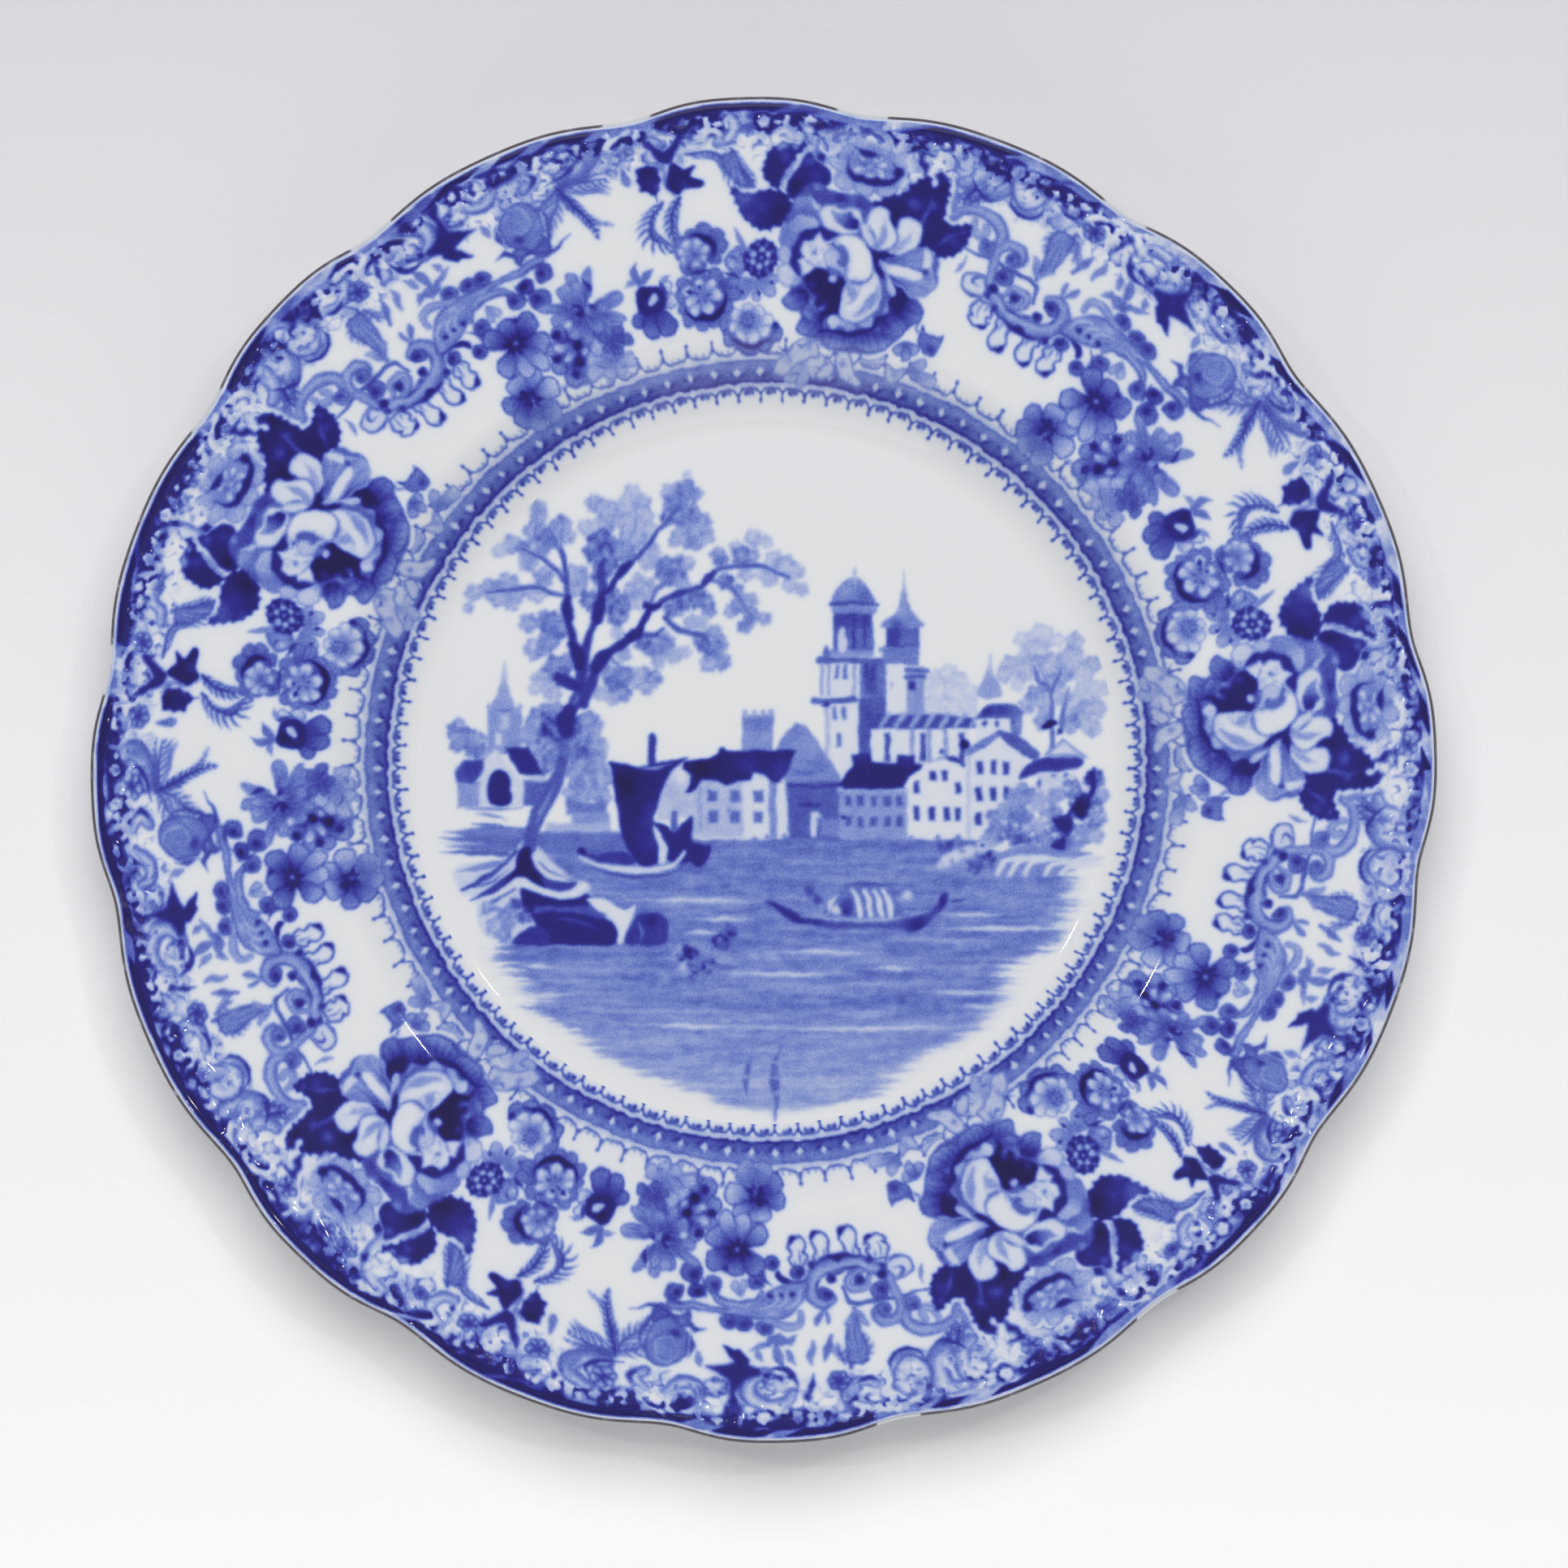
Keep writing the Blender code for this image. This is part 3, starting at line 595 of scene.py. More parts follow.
def inkPansies(s):
    s.petals((28.8, 84.6), .85, .28, (28.2, 90, 5.4), (31.4, 88.8, 3.6), edgeTone=.74)
    s.petals((28.8, 84.6), .9, .46, (25.2, 86.2, 3.8), (25.6, 81.4, 4.4), edgeTone=.78)
    s.petals((28.8, 84.6), .7, .18, (32.9, 84.6, 4.6), edgeTone=.76)
    s.petals((28.8, 83.4), .7, .36, (27.4, 78.6, 4), (31.2, 78.8, 5), edgeTone=.6)
    for tip in ((27, 86.6), (28.6, 87), (29.9, 86.2), (27.2, 84), (27.8, 82.6), (29.6, 82.6), (30.6, 83.4),
            (29.9, 84.8)):
        s.line([(28.7, 84.7), tip], 1, .94, .5, tips=(1, .3))
    s.dots((29, 84.2, .6, .6), (28.3, 86.2, .5, 1))
    s.petals((30.9, 95), .97, .5, (28, 99.4, 4.4), (31, 100.4, 4), (34, 98.6, 4.6), edgeTone=.82)
    s.petals((30.9, 95), .92, .36, (27.5, 91.2, 4.4), (34.5, 92.2, 4.6), edgeTone=.84)
    s.petals((30.9, 95), .8, .22, (30.2, 88.2, 3.8), (32.8, 88.1, 3.8), edgeTone=.72)
    for tip in ((28.8, 96.6), (29.6, 98), (31, 98), (32.2, 97.2), (32.8, 95), (32, 93.2), (30.9, 92.2),
            (29.6, 93), (28.8, 94.4)):
        s.line([(30.9, 95), tip], .95, .97, .5, tips=(1, .3))
    s.dots((30.95, 95.2, .4, .35), (32.1, 99.3, .6, .9))
    # three-quarter flower with dark heart at the joint with the next peony's group
    s.petals((37, 89.4), .97, .42, (33.2, 86.6, 3.4), (34.6, 82.4, 4.4), (37.6, 82.4, 4.2),
        (40.8, 83.6, 4.4), (43, 87, 4), (43.2, 90.6, 3.6), (41, 95, 4.4), (38, 96, 4), (35.4, 94.4, 3.4),
        (33.6, 91, 3), edgeTone=.76)
    s.petals((37.6, 89.6), .95, .1, (34.4, 90.6, 2), (35, 87.4, 2), (39, 91.4, 2.2), (39.8, 88.4, 2.2),
        (37.9, 87, 2), edgeTone=.6)
    s.dots((34.2, 88.7, 1, .95), (35.5, 92.9, .9, .95), (37.2, 91.6, 1.3, .98), (37.2, 89.4, 1, 1),
        (36.7, 86.4, 1.1, 1), (35.5, 84.7, 1, .9), (38.6, 93.2, 1.2, .95), (41.4, 91.4, 1, .5),
        (41.2, 87.4, 1, .85))
    s.line([(33.1, 83.4), (35.4, 82.6), (38, 82.2), (40.6, 83)], .9, .6, soft=.5)
    s.line([(36.6, 98.2), (37.8, 97.4), (39, 97)], 1.1, .55, soft=.4)


def inkScroll(s):
    # shell lobes hanging from the scroll
    for k, top, low, wide in ((14.9, 99.2, 94.1, 1.55), (18, 98.9, 91.7, 1.2), (21.3, 98.8, 91.9, 1.15),
            (24, 98.8, 92.5, 1.15)):
        s.shape([(k - .45 * wide, top), (k - .95 * wide, top - 2), (k - .7 * wide, top - 3),
            (k - wide * .95, low + 1.6), (k - .6 * wide, low + .4), (k, low), (k + .65 * wide, low + .5),
            (k + wide, low + 1.9), (k + .7 * wide, top - 2.8), (k + wide, top - 1.8), (k + .5 * wide, top)],
            .05, edge=.34, edgeTone=.8, shadow=.7, shadowTone=.4)
        s.line([(k - .2, low + .3), (k + .6 * wide, low + .7), (k + wide * .95, low + 2.2)], .9, .95, .45)
        s.lines(.4, .5, [(k - .25, top), (k - .35, top - 2.2), (k - .1, top - 3.4)],
            [(k + .35, top), (k + .35, top - 2)])
        s.line([(k - .8 * wide, top - 2.9), (k - .4 * wide, top - 3.1)], .5, .8)
    s.shape([(14.4, 103.6), (12.9, 103.6), (11.6, 102.8), (11.3, 101), (11.9, 99.6), (13.2, 99.2),
        (14.4, 99.6)], .1, edge=.36, edgeTone=.72)
    s.lines(.5, .7, [(13.8, 103.2), (12.9, 102.7), (12.7, 101.6), (13.6, 101.2)],
        [(12.2, 99.7), (13.2, 99.4), (14, 99.9)])
    s.line([(11, 105.8), (10.9, 104), (10.5, 102.6)], .8, .45, tips=(.3, .5))
    # left volutes and the thin stem through them
    s.line([(10.4, 107.3), (12.4, 107), (14, 107.2), (16.4, 106.8), (18.2, 107), (19, 106), (19.5, 103.4)],
        .75, .68, tips=(.5, .8))
    s.ribbon([(8.4, 112), (9.1, 113.8), (10.6, 114.7), (12.4, 114.2), (13.5, 112.6), (13.8, 110.6),
        (13.4, 108.8), (12.5, 108.4), (12.4, 109.6)], 1.7)
    s.ribbon([(10.6, 113), (10.7, 111.4), (11.4, 110.5), (12, 111.2), (11.8, 112.6)], .8, tone=.4, rim=.6)
    s.ball(12.8, 109.4, 1.25, .64)
    s.ribbon([(14, 107.4), (14, 109.8), (14.8, 111.2), (15.9, 111), (16.4, 109.4), (16, 108.2)], 1.3)
    s.ball(15.6, 108.9, 1.3, .66)
    # the C of the scroll
    s.ribbon([(13.9, 107), (14.1, 104.6), (14.7, 102.2), (15.9, 100.4), (17.6, 99.2), (19.6, 98.8),
        (21.4, 99.4), (22.5, 101), (22.9, 103), (22.6, 105), (21.7, 106.2), (20.9, 105.6)], 2.2, tone=.46)
    s.line([(15.4, 98.9), (17.4, 98), (19.6, 97.2), (21.8, 98), (23, 99.6)], .9, .88, soft=.5)
    s.lines(.5, .8, [(16.2, 100.8), (18, 100), (20.2, 99.8)], [(22.1, 104.6), (22.1, 102.4), (21.4, 100.8)],
        soft=.35)
    s.dots((15, 102.2, .9, .95), (14.8, 100.6, .7, .85), (19.5, 97.5, 1, .95), (16.2, 98.8, .8, .85),
        (22.6, 98.4, .8, .9))
    s.ball(15.6, 105.1, 1.8, .72)
    s.ribbon([(16.4, 101.9), (17, 103.9), (18.1, 104), (18.8, 102.8), (18.4, 101.2), (17.4, 100.8)], 1,
        tone=.5)
    s.ball(17.5, 102.5, .95, .84)
    s.ball(20.5, 101.4, .9, .84)
    s.line([(20.5, 101), (19.6, 100.4), (18.8, 100.4)], .6, .7)
    s.ball(21.3, 104.3, 1.4, .76)
    # arm running right, with acanthus folds under it
    s.shape([(23.2, 102), (23.8, 105.4), (25, 107.6), (27, 108.6), (29.4, 108.4), (32, 107.8), (35, 107.8),
        (37.4, 108.2), (37.4, 106.4), (34.6, 106.2), (31, 106.4), (28.8, 105.4), (27.6, 103.4),
        (26.4, 102.2), (24.6, 101.4)], .46, soft=.35, edge=.3, edgeTone=.72, marks=[(27, 107.4, 1.2, .3),
        (31, 107, 1.2, .3), (34.5, 107, 1.1, .34)])
    s.ribbon([(28, 103.4), (28.6, 105), (30.2, 105.9), (32, 105.4), (33.2, 103.8)], .9, tone=.6, rim=.84)
    for k in (24.1, 25.3, 26.5):
        s.ribbon([(k, 103), (k + .1, 104.8), (k + .9, 106), (k + 1.7, 106.2)], .75, tone=.34, rim=.8,
            lit=.2)
        s.dot(k + .7, 103.8, .5, .9)
    for k, r, size in ((27.9, 110.2, 1.35), (29.9, 109.5, 1.45), (31.3, 109.1, 1.45)):
        s.line([(k - .7, r - 2), (k - .9, r), (k - .5, r + 1.3), (k + .2, r + 1.4)], .8, .66)
        s.ball(k, r, size, .72)
    s.ribbon([(24, 107.4), (24.2, 109.2), (25.2, 110), (26.4, 109.2), (27.6, 108.8)], .8, tone=.4, rim=.66)
    # hanging curls
    for k, r, size, tone in ((24.1, 99.6, 1.4, .78), (26.9, 97.8, 1.6, .76), (28.6, 101.2, 1.7, .72),
            (33.1, 102.2, 1.7, .7), (34.9, 103.8, 1.6, .84), (35.6, 100.5, 2.15, .76),
            (37.1, 104.5, 1.75, .76)):
        s.ball(k, r, size, tone)
    s.lines(.8, .74, [(22.8, 101.2), (24.4, 101.6), (25.4, 100.6)], [(26.8, 102), (27.8, 100.2),
        (27.9, 98)], [(34, 105), (34, 102.6), (34.4, 101)], [(34.8, 105.6), (36.2, 106.5), (37.8, 106),
        (38.1, 104.6)])
    s.line([(24.7, 101.6), (25.6, 100.8), (26.3, 99.8)], 1, .92, tips=(.3, .7))
    s.petals((30.2, 104.4), .5, .22, (29.9, 101, 1.5), (31.1, 101.4, 1.5), edgeTone=.5)
    # leaves off the scroll
    s.petals((21.6, 106.9), .62, .52, (21.3, 109.9, 1), (22.8, 109.9, 1.1), edgeTone=.6)
    s.petals((18.4, 107.6), .55, .3, (17.4, 111.4, 1.3), (19.6, 110.6, 1.1), edgeTone=.5)
    # second scroll, up towards the rim
    s.shape([(33.4, 110.6), (34.4, 112), (35.2, 111.4), (36, 112.4), (37, 112), (38.6, 112), (39.2, 109),
        (38, 107.6), (36.6, 108.6), (35.4, 107.8), (34.8, 108.8), (35, 110)], .66, edge=.35, edgeTone=.82,
        teeth=(9, .4), marks=[(36.4, 110.4, 1.2, .5), (34, 110.7, .8, .9), (36.6, 108.9, .6, .95)])
    s.shape([(35.2, 112), (34.9, 115), (35.4, 117.6), (36.6, 119), (38.2, 118.8), (39.2, 116.6),
        (39.2, 113.6), (38.6, 111), (37, 108.9), (36.2, 110.6)], .52, edge=.4, edgeTone=.74,
        marks=[(37.2, 115.6, 1.3, .5), (36.3, 112.6, 1, .86), (38.6, 113.6, .8, .4)])
    s.ribbon([(35.8, 116.4), (36.6, 118), (37.8, 117.2), (38, 114.6), (36.9, 113.4), (36.2, 114.6)], .7,
        tone=.5, rim=.84)
    s.lines(.7, .74, [(39.2, 117.8), (39.8, 113.4), (38.6, 109.6), (36.8, 107.9)],
        [(41.2, 109.8), (39.4, 108.2), (37.6, 107.8), (36, 108.2)], [(35, 112), (34.6, 114.4), (34.9, 117)])


def inkSprays(s):
    # ferns
    for points, length, tone, sides in (([(-21, 110.8), (-22.3, 108.4), (-22.9, 106), (-22.5, 103.8),
            (-20.6, 102)], 2.9, .58, (-1,)), ([(-21, 110.8), (-22.3, 108.4), (-22.9, 106), (-22.5, 103.8),
            (-20.6, 102)], 1.3, .58, (1,)), ([(-19.3, 111.2), (-20.1, 108.6), (-20.5, 106), (-20.4, 102.6)],
            1.9, .62, (1, -1)), ([(-30.6, 118.4), (-29.6, 114.6), (-28.6, 110.8), (-28.2, 107)], 1.6, .62,
            (1, -1)), ([(-30.6, 117.4), (-31.4, 114.4), (-32.9, 111.4)], 2, .5, (1, -1)),
            ([(-30.2, 118), (-32, 117.2), (-33.3, 115)], 2.2, .48, (1, -1)), ([(-30.6, 119), (-28, 119),
            (-25.6, 118.8)], 1.3, .5, (1,)), ([(-30.4, 118.6), (-28, 118.4), (-25.8, 117.6)], 4.4, .52,
            (-1,)), ([(-29.4, 113), (-27.8, 110), (-26.4, 108.6)], .9, .4, (1, -1)),
            ([(-18, 119.2), (-15.8, 119), (-14.6, 117.4), (-13.8, 114.6), (-12.4, 112)], 2.8, .52, (-1,)),
            ([(-13.8, 119.4), (-13, 116), (-11.8, 112)], 1.7, .5, (1, -1)), ([(9.4, 119), (9.2, 117.4),
            (8.4, 115.2)], 2.2, .62, (1, -1)), ([(10.8, 118.4), (9.8, 116.4), (9, 114.8)], 1.5, .56,
            (1, -1)), ([(19.6, 119), (19.1, 115), (18.8, 111), (18.6, 107.6)], 1.8, .52, (1, -1)),
            ([(18.6, 118.4), (17.9, 115.6), (18, 112.6)], 1.3, .42, (1, -1)), ([(20.2, 118), (20.6, 115.6),
            (21.4, 114)], 1.3, .44, (1, -1))):
        s.fern(points, length, tone * 1.2, step=1.2, width=.34, sides=sides, stem=.5)
    s.lines(1.5, .62, [(-30.8, 118), (-29.6, 114.4), (-28.8, 111.6)], [(-22.7, 107), (-22.4, 104.4),
        (-20.8, 102.4)], tips=(.6, .3))
    s.shape([(-14.8, 118.4), (-13.4, 118.6), (-12.6, 115), (-11.8, 112), (-13.4, 112.6), (-14.6, 115)], .54,
        edge=.3, veins=(-14, 120, 30, .12))
    s.shape([(18.1, 118), (19.8, 118), (20, 114), (19.4, 110), (18.6, 107.8), (18.2, 112), (17.8, 115)], .5,
        edge=.25, veins=(19, 121, 46, .1))
    s.petals((-24.2, 119.4), .7, .5, (-23.9, 115, 1.5), edgeTone=.6)
    s.line([(-21.4, 101.2), (-20.8, 101.2)], .6, .75)
    # dark twin leaves and the sprigs
    s.shape([(-22.9, 117.9), (-22, 118.3), (-21, 117.9), (-20.8, 114.5), (-21.1, 112.9), (-21.6, 111),
        (-22.1, 112.6), (-22.9, 113.4), (-23.1, 115)], .94, teeth=(9, .4), marks=[(-22, 117, .9, 1),
        (-21.4, 114, .6, .8)])
    s.shape([(-20.4, 114), (-20, 116.6), (-19.4, 118.4), (-18.6, 116.6), (-17.4, 116.7), (-17.9, 115),
        (-16.8, 114), (-17, 112.5), (-18.6, 112.7), (-19.4, 111.8), (-20.1, 112.8)], .97,
        marks=[(-18.6, 113.4, .8, .86)])
    s.line([(-21.4, 122.4), (-20.9, 120.4), (-20.2, 118.9), (-19.4, 120), (-18.3, 122.4)], 1.8, .93,
        soft=.45, tips=(.5, .6))
    s.lines(.9, .5, [(-21.4, 118.4), (-20.6, 117.2), (-20.2, 118.4)], [(-20.5, 118.4), (-20.3, 114),
        (-19.5, 111)])
    for a, b, w, tone in (((22, 117), (21.2, 112.4), 1.2, .6), ((23.4, 117.4), (22.9, 113), 1, .5),
            ((24.6, 111.8), (25.2, 113.4), 1.1, .5), ((25.2, 112.8), (27, 112.2), 2.0, .56),
            ((26.2, 111.2), (27.4, 113.6), 1.3, .6), ((29, 114.4), (27, 113), 1.0, .5),
            ((26, 117.6), (26.6, 113.4), 1.8, .56), ((24.8, 117.4), (25.5, 114.6), 1, .5),
            ((28, 116.4), (28.4, 114.6), 1.2, .5), ((33.6, 118), (34, 115.4), 1.1, .5),
            ((7.8, 118), (8.2, 112.6), 1.2, .5)):
        s.line([a, ((a[0] + b[0]) / 2 + .1, (a[1] + b[1]) / 2), b], w, tone, tips=(.35, .5))
    s.shape([(28.9, 118.6), (30.4, 118.4), (31, 116), (31.7, 113.9), (30.2, 114), (29.3, 115.4), (29, 117)],
        .93, teeth=(6, .3))
    s.shape([(29.8, 129), (29.4, 126), (30.2, 123), (29.4, 120.2), (28, 119.2), (28.4, 117.8), (30, 116.8),
        (31.8, 117.6), (33.2, 118.2), (31.4, 119.6), (30.8, 122), (31.2, 126), (31, 129)], .92, soft=.5)


def inkEdge(s):
    # between the flowers and the groove: shells and C-scrolls, a shield, small roses, white ovals
    for spine, width, tone in (([(7.4, 126.6), (8.8, 126), (9.7, 123.6), (9.4, 120.4), (8.2, 119)], 2.2,
            .38), ([(9.4, 127), (11.4, 126.4), (12.1, 123.6), (12, 120.6), (10.8, 119)], 2.8, .44),
            ([(17.6, 122.4), (19, 121.6), (20.2, 123), (20, 125.4), (18.8, 126.6)], 1.8, .4),
            ([(25.2, 122.4), (25.6, 124.2), (27.4, 124.9), (29, 123), (29, 120.6), (27.6, 118.8)], 2.2,
            .42), ([(36.4, 123.6), (35.4, 121.8), (33.9, 121.6), (33.4, 123.4)], 1.8, .5),
            ([(-10.8, 126), (-8.8, 126.8), (-7, 125.4), (-6.2, 122.4), (-6.2, 119)], 1.8, .36),
            ([(-28.9, 126), (-27, 124.6), (-26.8, 122.4), (-28, 120.8), (-29.8, 120.4)], 2.6, .5),
            ([(-33.8, 123.6), (-32.6, 122), (-33.4, 120.6)], 1.6, .4), ([(-14.6, 125.6), (-13.4, 124),
            (-13.8, 121.6), (-15, 120.6)], 1.5, .36)):
        s.ribbon(spine, width, tone=tone + .04, rim=.84, lit=.1)
    s.shape([(12.6, 124), (12.8, 120.4), (14.4, 118.2), (16, 120.2), (16.2, 124), (15, 126.2), (13.6, 126)],
        .1, edge=.5, edgeTone=.74, marks=[(14, 122.8, .8, .4), (15, 121.2, .5, .5), (14.2, 119.6, .6, .4)])
    for k, r, size, tone in ((-30, 123.5, 2.3, .06), (-23.7, 122.3, 2, .2), (-4.3, 124.8, 2, .3),
            (-2, 124.8, 1.9, .08), (32, 121.8, 2, .06), (34.6, 125.4, 1.6, .1), (3.2, 124.4, 2, .08),
            (20.9, 121, 1.9, .34), (-17.2, 123.4, 1.8, .14), (-12, 123, 1.5, .1), (26.9, 120.6, 1.7, .08)):
        turns = np.arange(6) * np.pi / 3 + k
        s.petals((k, r), .5, tone, *[(k + size * np.cos(a) / aspect, r + size * np.sin(a),
            size * .85) for a in turns], edgeTone=.8, edge=.34)
        s.dot(k, r, .42, .85)
    s.lines(1, .86, [(-22.2, 124.4), (-21.2, 121), (-20.7, 119.4)], [(-19.9, 122.6), (-20.4, 120.4)],
        [(-18.9, 122.6), (-18, 120.6)], [(5.4, 127), (6.4, 125.8), (7.4, 126.6)],
        [(2.6, 122.2), (4.2, 121.9), (5.4, 122.6)], [(23.7, 124.6), (23.8, 122.4)],
        [(-26.2, 127), (-25.6, 125.2)], soft=.4)
    s.dots((-8.6, 124, 1.3, .05), (-20.6, 122.2, .9, .04), (22.5, 122, 1, .04), (8.5, 123.4, .9, .06),
        (4.9, 124.4, 1.1, .05), (-15.4, 122, .9, .06), (24, 120.2, .7, .1), (17, 124.4, 1, .1),
        (0, 125.6, .9, .1), (-11.6, 119.6, .9, .08))


def inkRim(s):
    # small flower over the peony, with the dark leaf tips and pale moulded arcs round it
    s.petals((-.5, 117.4), .6, .25, (-3.6, 113, 4), (-1, 111.6, 4), (1.8, 112.6, 4), (3.4, 115.6, 3.4),
        (-4.6, 117.4, 3.6), (-4.2, 121, 3.4), (-1.9, 123, 3.2), (.6, 122.8, 3.2), (2.9, 120, 3.4),
        edgeTone=.5)
    s.line([(-2.9, 118.8), (-2.6, 116.4), (-1.8, 114.9), (0, 114.7), (1.4, 115.2), (2, 117), (1.4, 119)],
        1.6, .95, soft=.5)
    s.petals((-.6, 117.2), .5, .03, (-1.7, 119.5, 1.9), (.1, 120, 1.9), (1.2, 118.4, 1.8), (1, 116, 1.8),
        (-.6, 115, 1.8), (-2.2, 116, 1.9), edgeTone=.5)
    s.dots((-.7, 117.1, .5, .2), (-.1, 117.6, .3, .7), (-1.2, 117.5, .3, .66), (-.6, 116.6, .3, .7),
        (2.1, 117.2, .8, .98))
    s.lines(1.3, .93, [(-6.2, 125), (-6, 122.4)], [(3.2, 123.4), (4.2, 120.6), (4.6, 117.6)],
        [(5.8, 120), (6.3, 117.4)], [(-2.2, 126), (-.8, 124.6)], [(-2.4, 120.6), (-1.2, 119.8), (.2, 120)],
        [(-5.6, 119.4), (-5, 116.8)], soft=.5)
    s.lines(1.3, .05, [(.8, 124), (2.5, 122.4), (3.2, 119.4), (3.1, 116.4), (2.5, 114.4)],
        [(-9.7, 121.6), (-8.6, 124.6), (-7, 124), (-6.6, 120.6), (-6.7, 118)], soft=.4, darken=False)
    s.lines(2, .06, [(5, 124.4), (6.2, 122.6), (7.4, 120.6)], [(-4.6, 124), (-4.2, 121.6), (-4, 119)],
        soft=.6, darken=False)
    s.dots((-4.6, 124.4, .4, .7), (-3.5, 123.4, .4, .8), (-4.3, 122.4, .35, .75), (-4.9, 121.4, .4, .5),
        (-1, 123, .9, .04), (-.8, 121.2, .6, .5), (4.4, 121.2, .55, .04), (14.3, 121.6, 1.3, .03),
        (15, 123, .8, .3), (22.4, 121.8, .8, .03), (26.6, 121.2, 1.2, .05), (26.2, 119.6, .5, .9),
        (27.4, 119.2, .6, .95), (25.3, 119.4, .6, .95), (32.2, 121.6, 1.2, .05), (31.6, 122.6, .35, .85),
        (32.7, 122.4, .3, .8), (32.1, 120.6, .4, .95), (11, 121.4, 1.2, .12))
    s.lines(.8, .86, [(12.7, 121), (13.4, 118), (14.8, 117), (16, 118.6), (16.3, 121.4)],
        [(8.6, 121), (9.6, 118.4), (11, 117.4), (12.4, 118.8)], [(24.6, 122.4), (25, 119.6), (26, 118),
        (28, 118)], [(23.6, 123.6), (23.4, 121), (23.2, 119)], [(17, 122), (18.4, 121.2), (19.8, 122.2)],
        [(-29.2, 125), (-28.2, 122.6), (-29.6, 120.4), (-31.4, 120)], [(-33.2, 120.4), (-32.2, 121.8),
        (-32.6, 123.6)], [(-15.4, 123.4), (-15.2, 121.2)])
    s.lines(1.5, .5, [(-27.2, 125.2), (-26.8, 122.4), (-28.2, 120.2)], [(12.6, 118.6), (14.4, 117.8),
        (16, 119)], soft=.5)


def inkBand(s):
    # the printed band round the cavetto: a dark strip with a row of diamonds between two hairlines,
    # pointed arches with dots outside it, hanging arches inside it
    period, first = 72 / 21, 5.65
    k = s.x / s.aspect
    r = s.y
    u = ((k - first) / period + 0.5) % 1 - 0.5  # 0 at a diamond, half at the middle between two
    cell = 5.9  # mm from one diamond to the next
    middle = 76.7  # the radius of the diamonds
    body = 0.65 - 0.17 * ease((r - 75.6) / 2.4) + 0.05 * grain(s.x, r, 0.9, 21)
    body += 0.3 * np.exp(-(((r - 74.75) / 0.35) ** 2)) + 0.16 * np.exp(-(((r - 78.7) / 0.25) ** 2))
    wide = u * period * s.aspect

    def inside(low, high, soft=0.22):
        return ease(0.5 + (r - low) / soft) * ease(0.5 + (high - r) / soft)

    def mark(across, up, turn, length, width):
        c, n = np.cos(np.radians(turn)), np.sin(np.radians(turn))
        dx, dy = wide - across, r - middle - up
        return np.exp(-(((dx * c + dy * n) / length) ** 2) - ((dy * c - dx * n) / width) ** 2)

    diamond = ease(2.2 - 2 * (np.abs(wide) + np.abs(r - middle)) / 1.1)
    leaf = np.clip(mark(1.05, -0.7, 26, 1.3, 0.42) + 0.8 * mark(-1.5, -0.15, -20, 0.6, 0.3), 0, 1)
    body += (0.88 - body) * leaf * 0.9
    body += (0.06 - body) * diamond * 0.97
    strip = inside(74.5, 78.95)
    pale = inside(73.6, 74.5) + inside(78.95, 79.75)
    v = ((k - first - 0.25) / period + 0.5) % 1 - 0.5
    outer = 80.0 + 2.0 * (1 - np.abs(2 * v)) ** 5
    outerLine = np.exp(-(((r - outer) / 0.3) ** 2)) * 0.74
    gap = np.abs(2 * v) * 3
    outerLine = np.maximum(outerLine, 0.5 * inside(80.0, 80.9) * ease(gap - 1.4) * ease(2.9 - gap))
    stem = np.exp(-((v * cell / (0.24 + 0.5 * ease((82.3 - r) / 1.8))) ** 2)) * inside(80.6, 82.6) * 0.72
    bead = ease(0.5 + (0.4 - np.hypot(v * cell * 0.82, r - 82.8)) / 0.3) * 0.68
    arch = 73.5 - 1.5 * np.abs(1 - np.abs(2 * u)) ** 5
    archLine = np.exp(-(((r - arch) / 0.34) ** 2)) * 0.86
    haze = inside(72.75, 73.4) * 0.66 * ease(np.abs(2 * u) * 3 - 1.2)
    legs = np.exp(-((u * cell / (0.24 + 0.4 * ease((r - 71.8) / 1.2))) ** 2)) * inside(71.3, 73.0) * 0.84
    foot = ease(0.5 + (0.4 - np.hypot(u * cell * 0.78, r - 71.3)) / 0.3) * 0.76
    pods = 0
    for at, size, tone in ((0.36, 0.46, 0.84), (-0.38, 0.34, 0.7), (0.48, 0.3, 0.6)):
        w = ((u - at + 0.5) % 1 - 0.5) * cell * 0.74
        pods = np.maximum(pods, ease(0.5 + (size - np.hypot(w, r - 72.65)) / 0.35) * tone)
    lineWork = np.maximum.reduce([outerLine, stem, bead, archLine, haze, legs, foot, pods])
    s.ink = np.maximum(s.ink, lineWork)
    s.ink += (body - s.ink) * strip
    s.ink += (0.12 - s.ink) * np.clip(pale, 0, 1) * 0.85


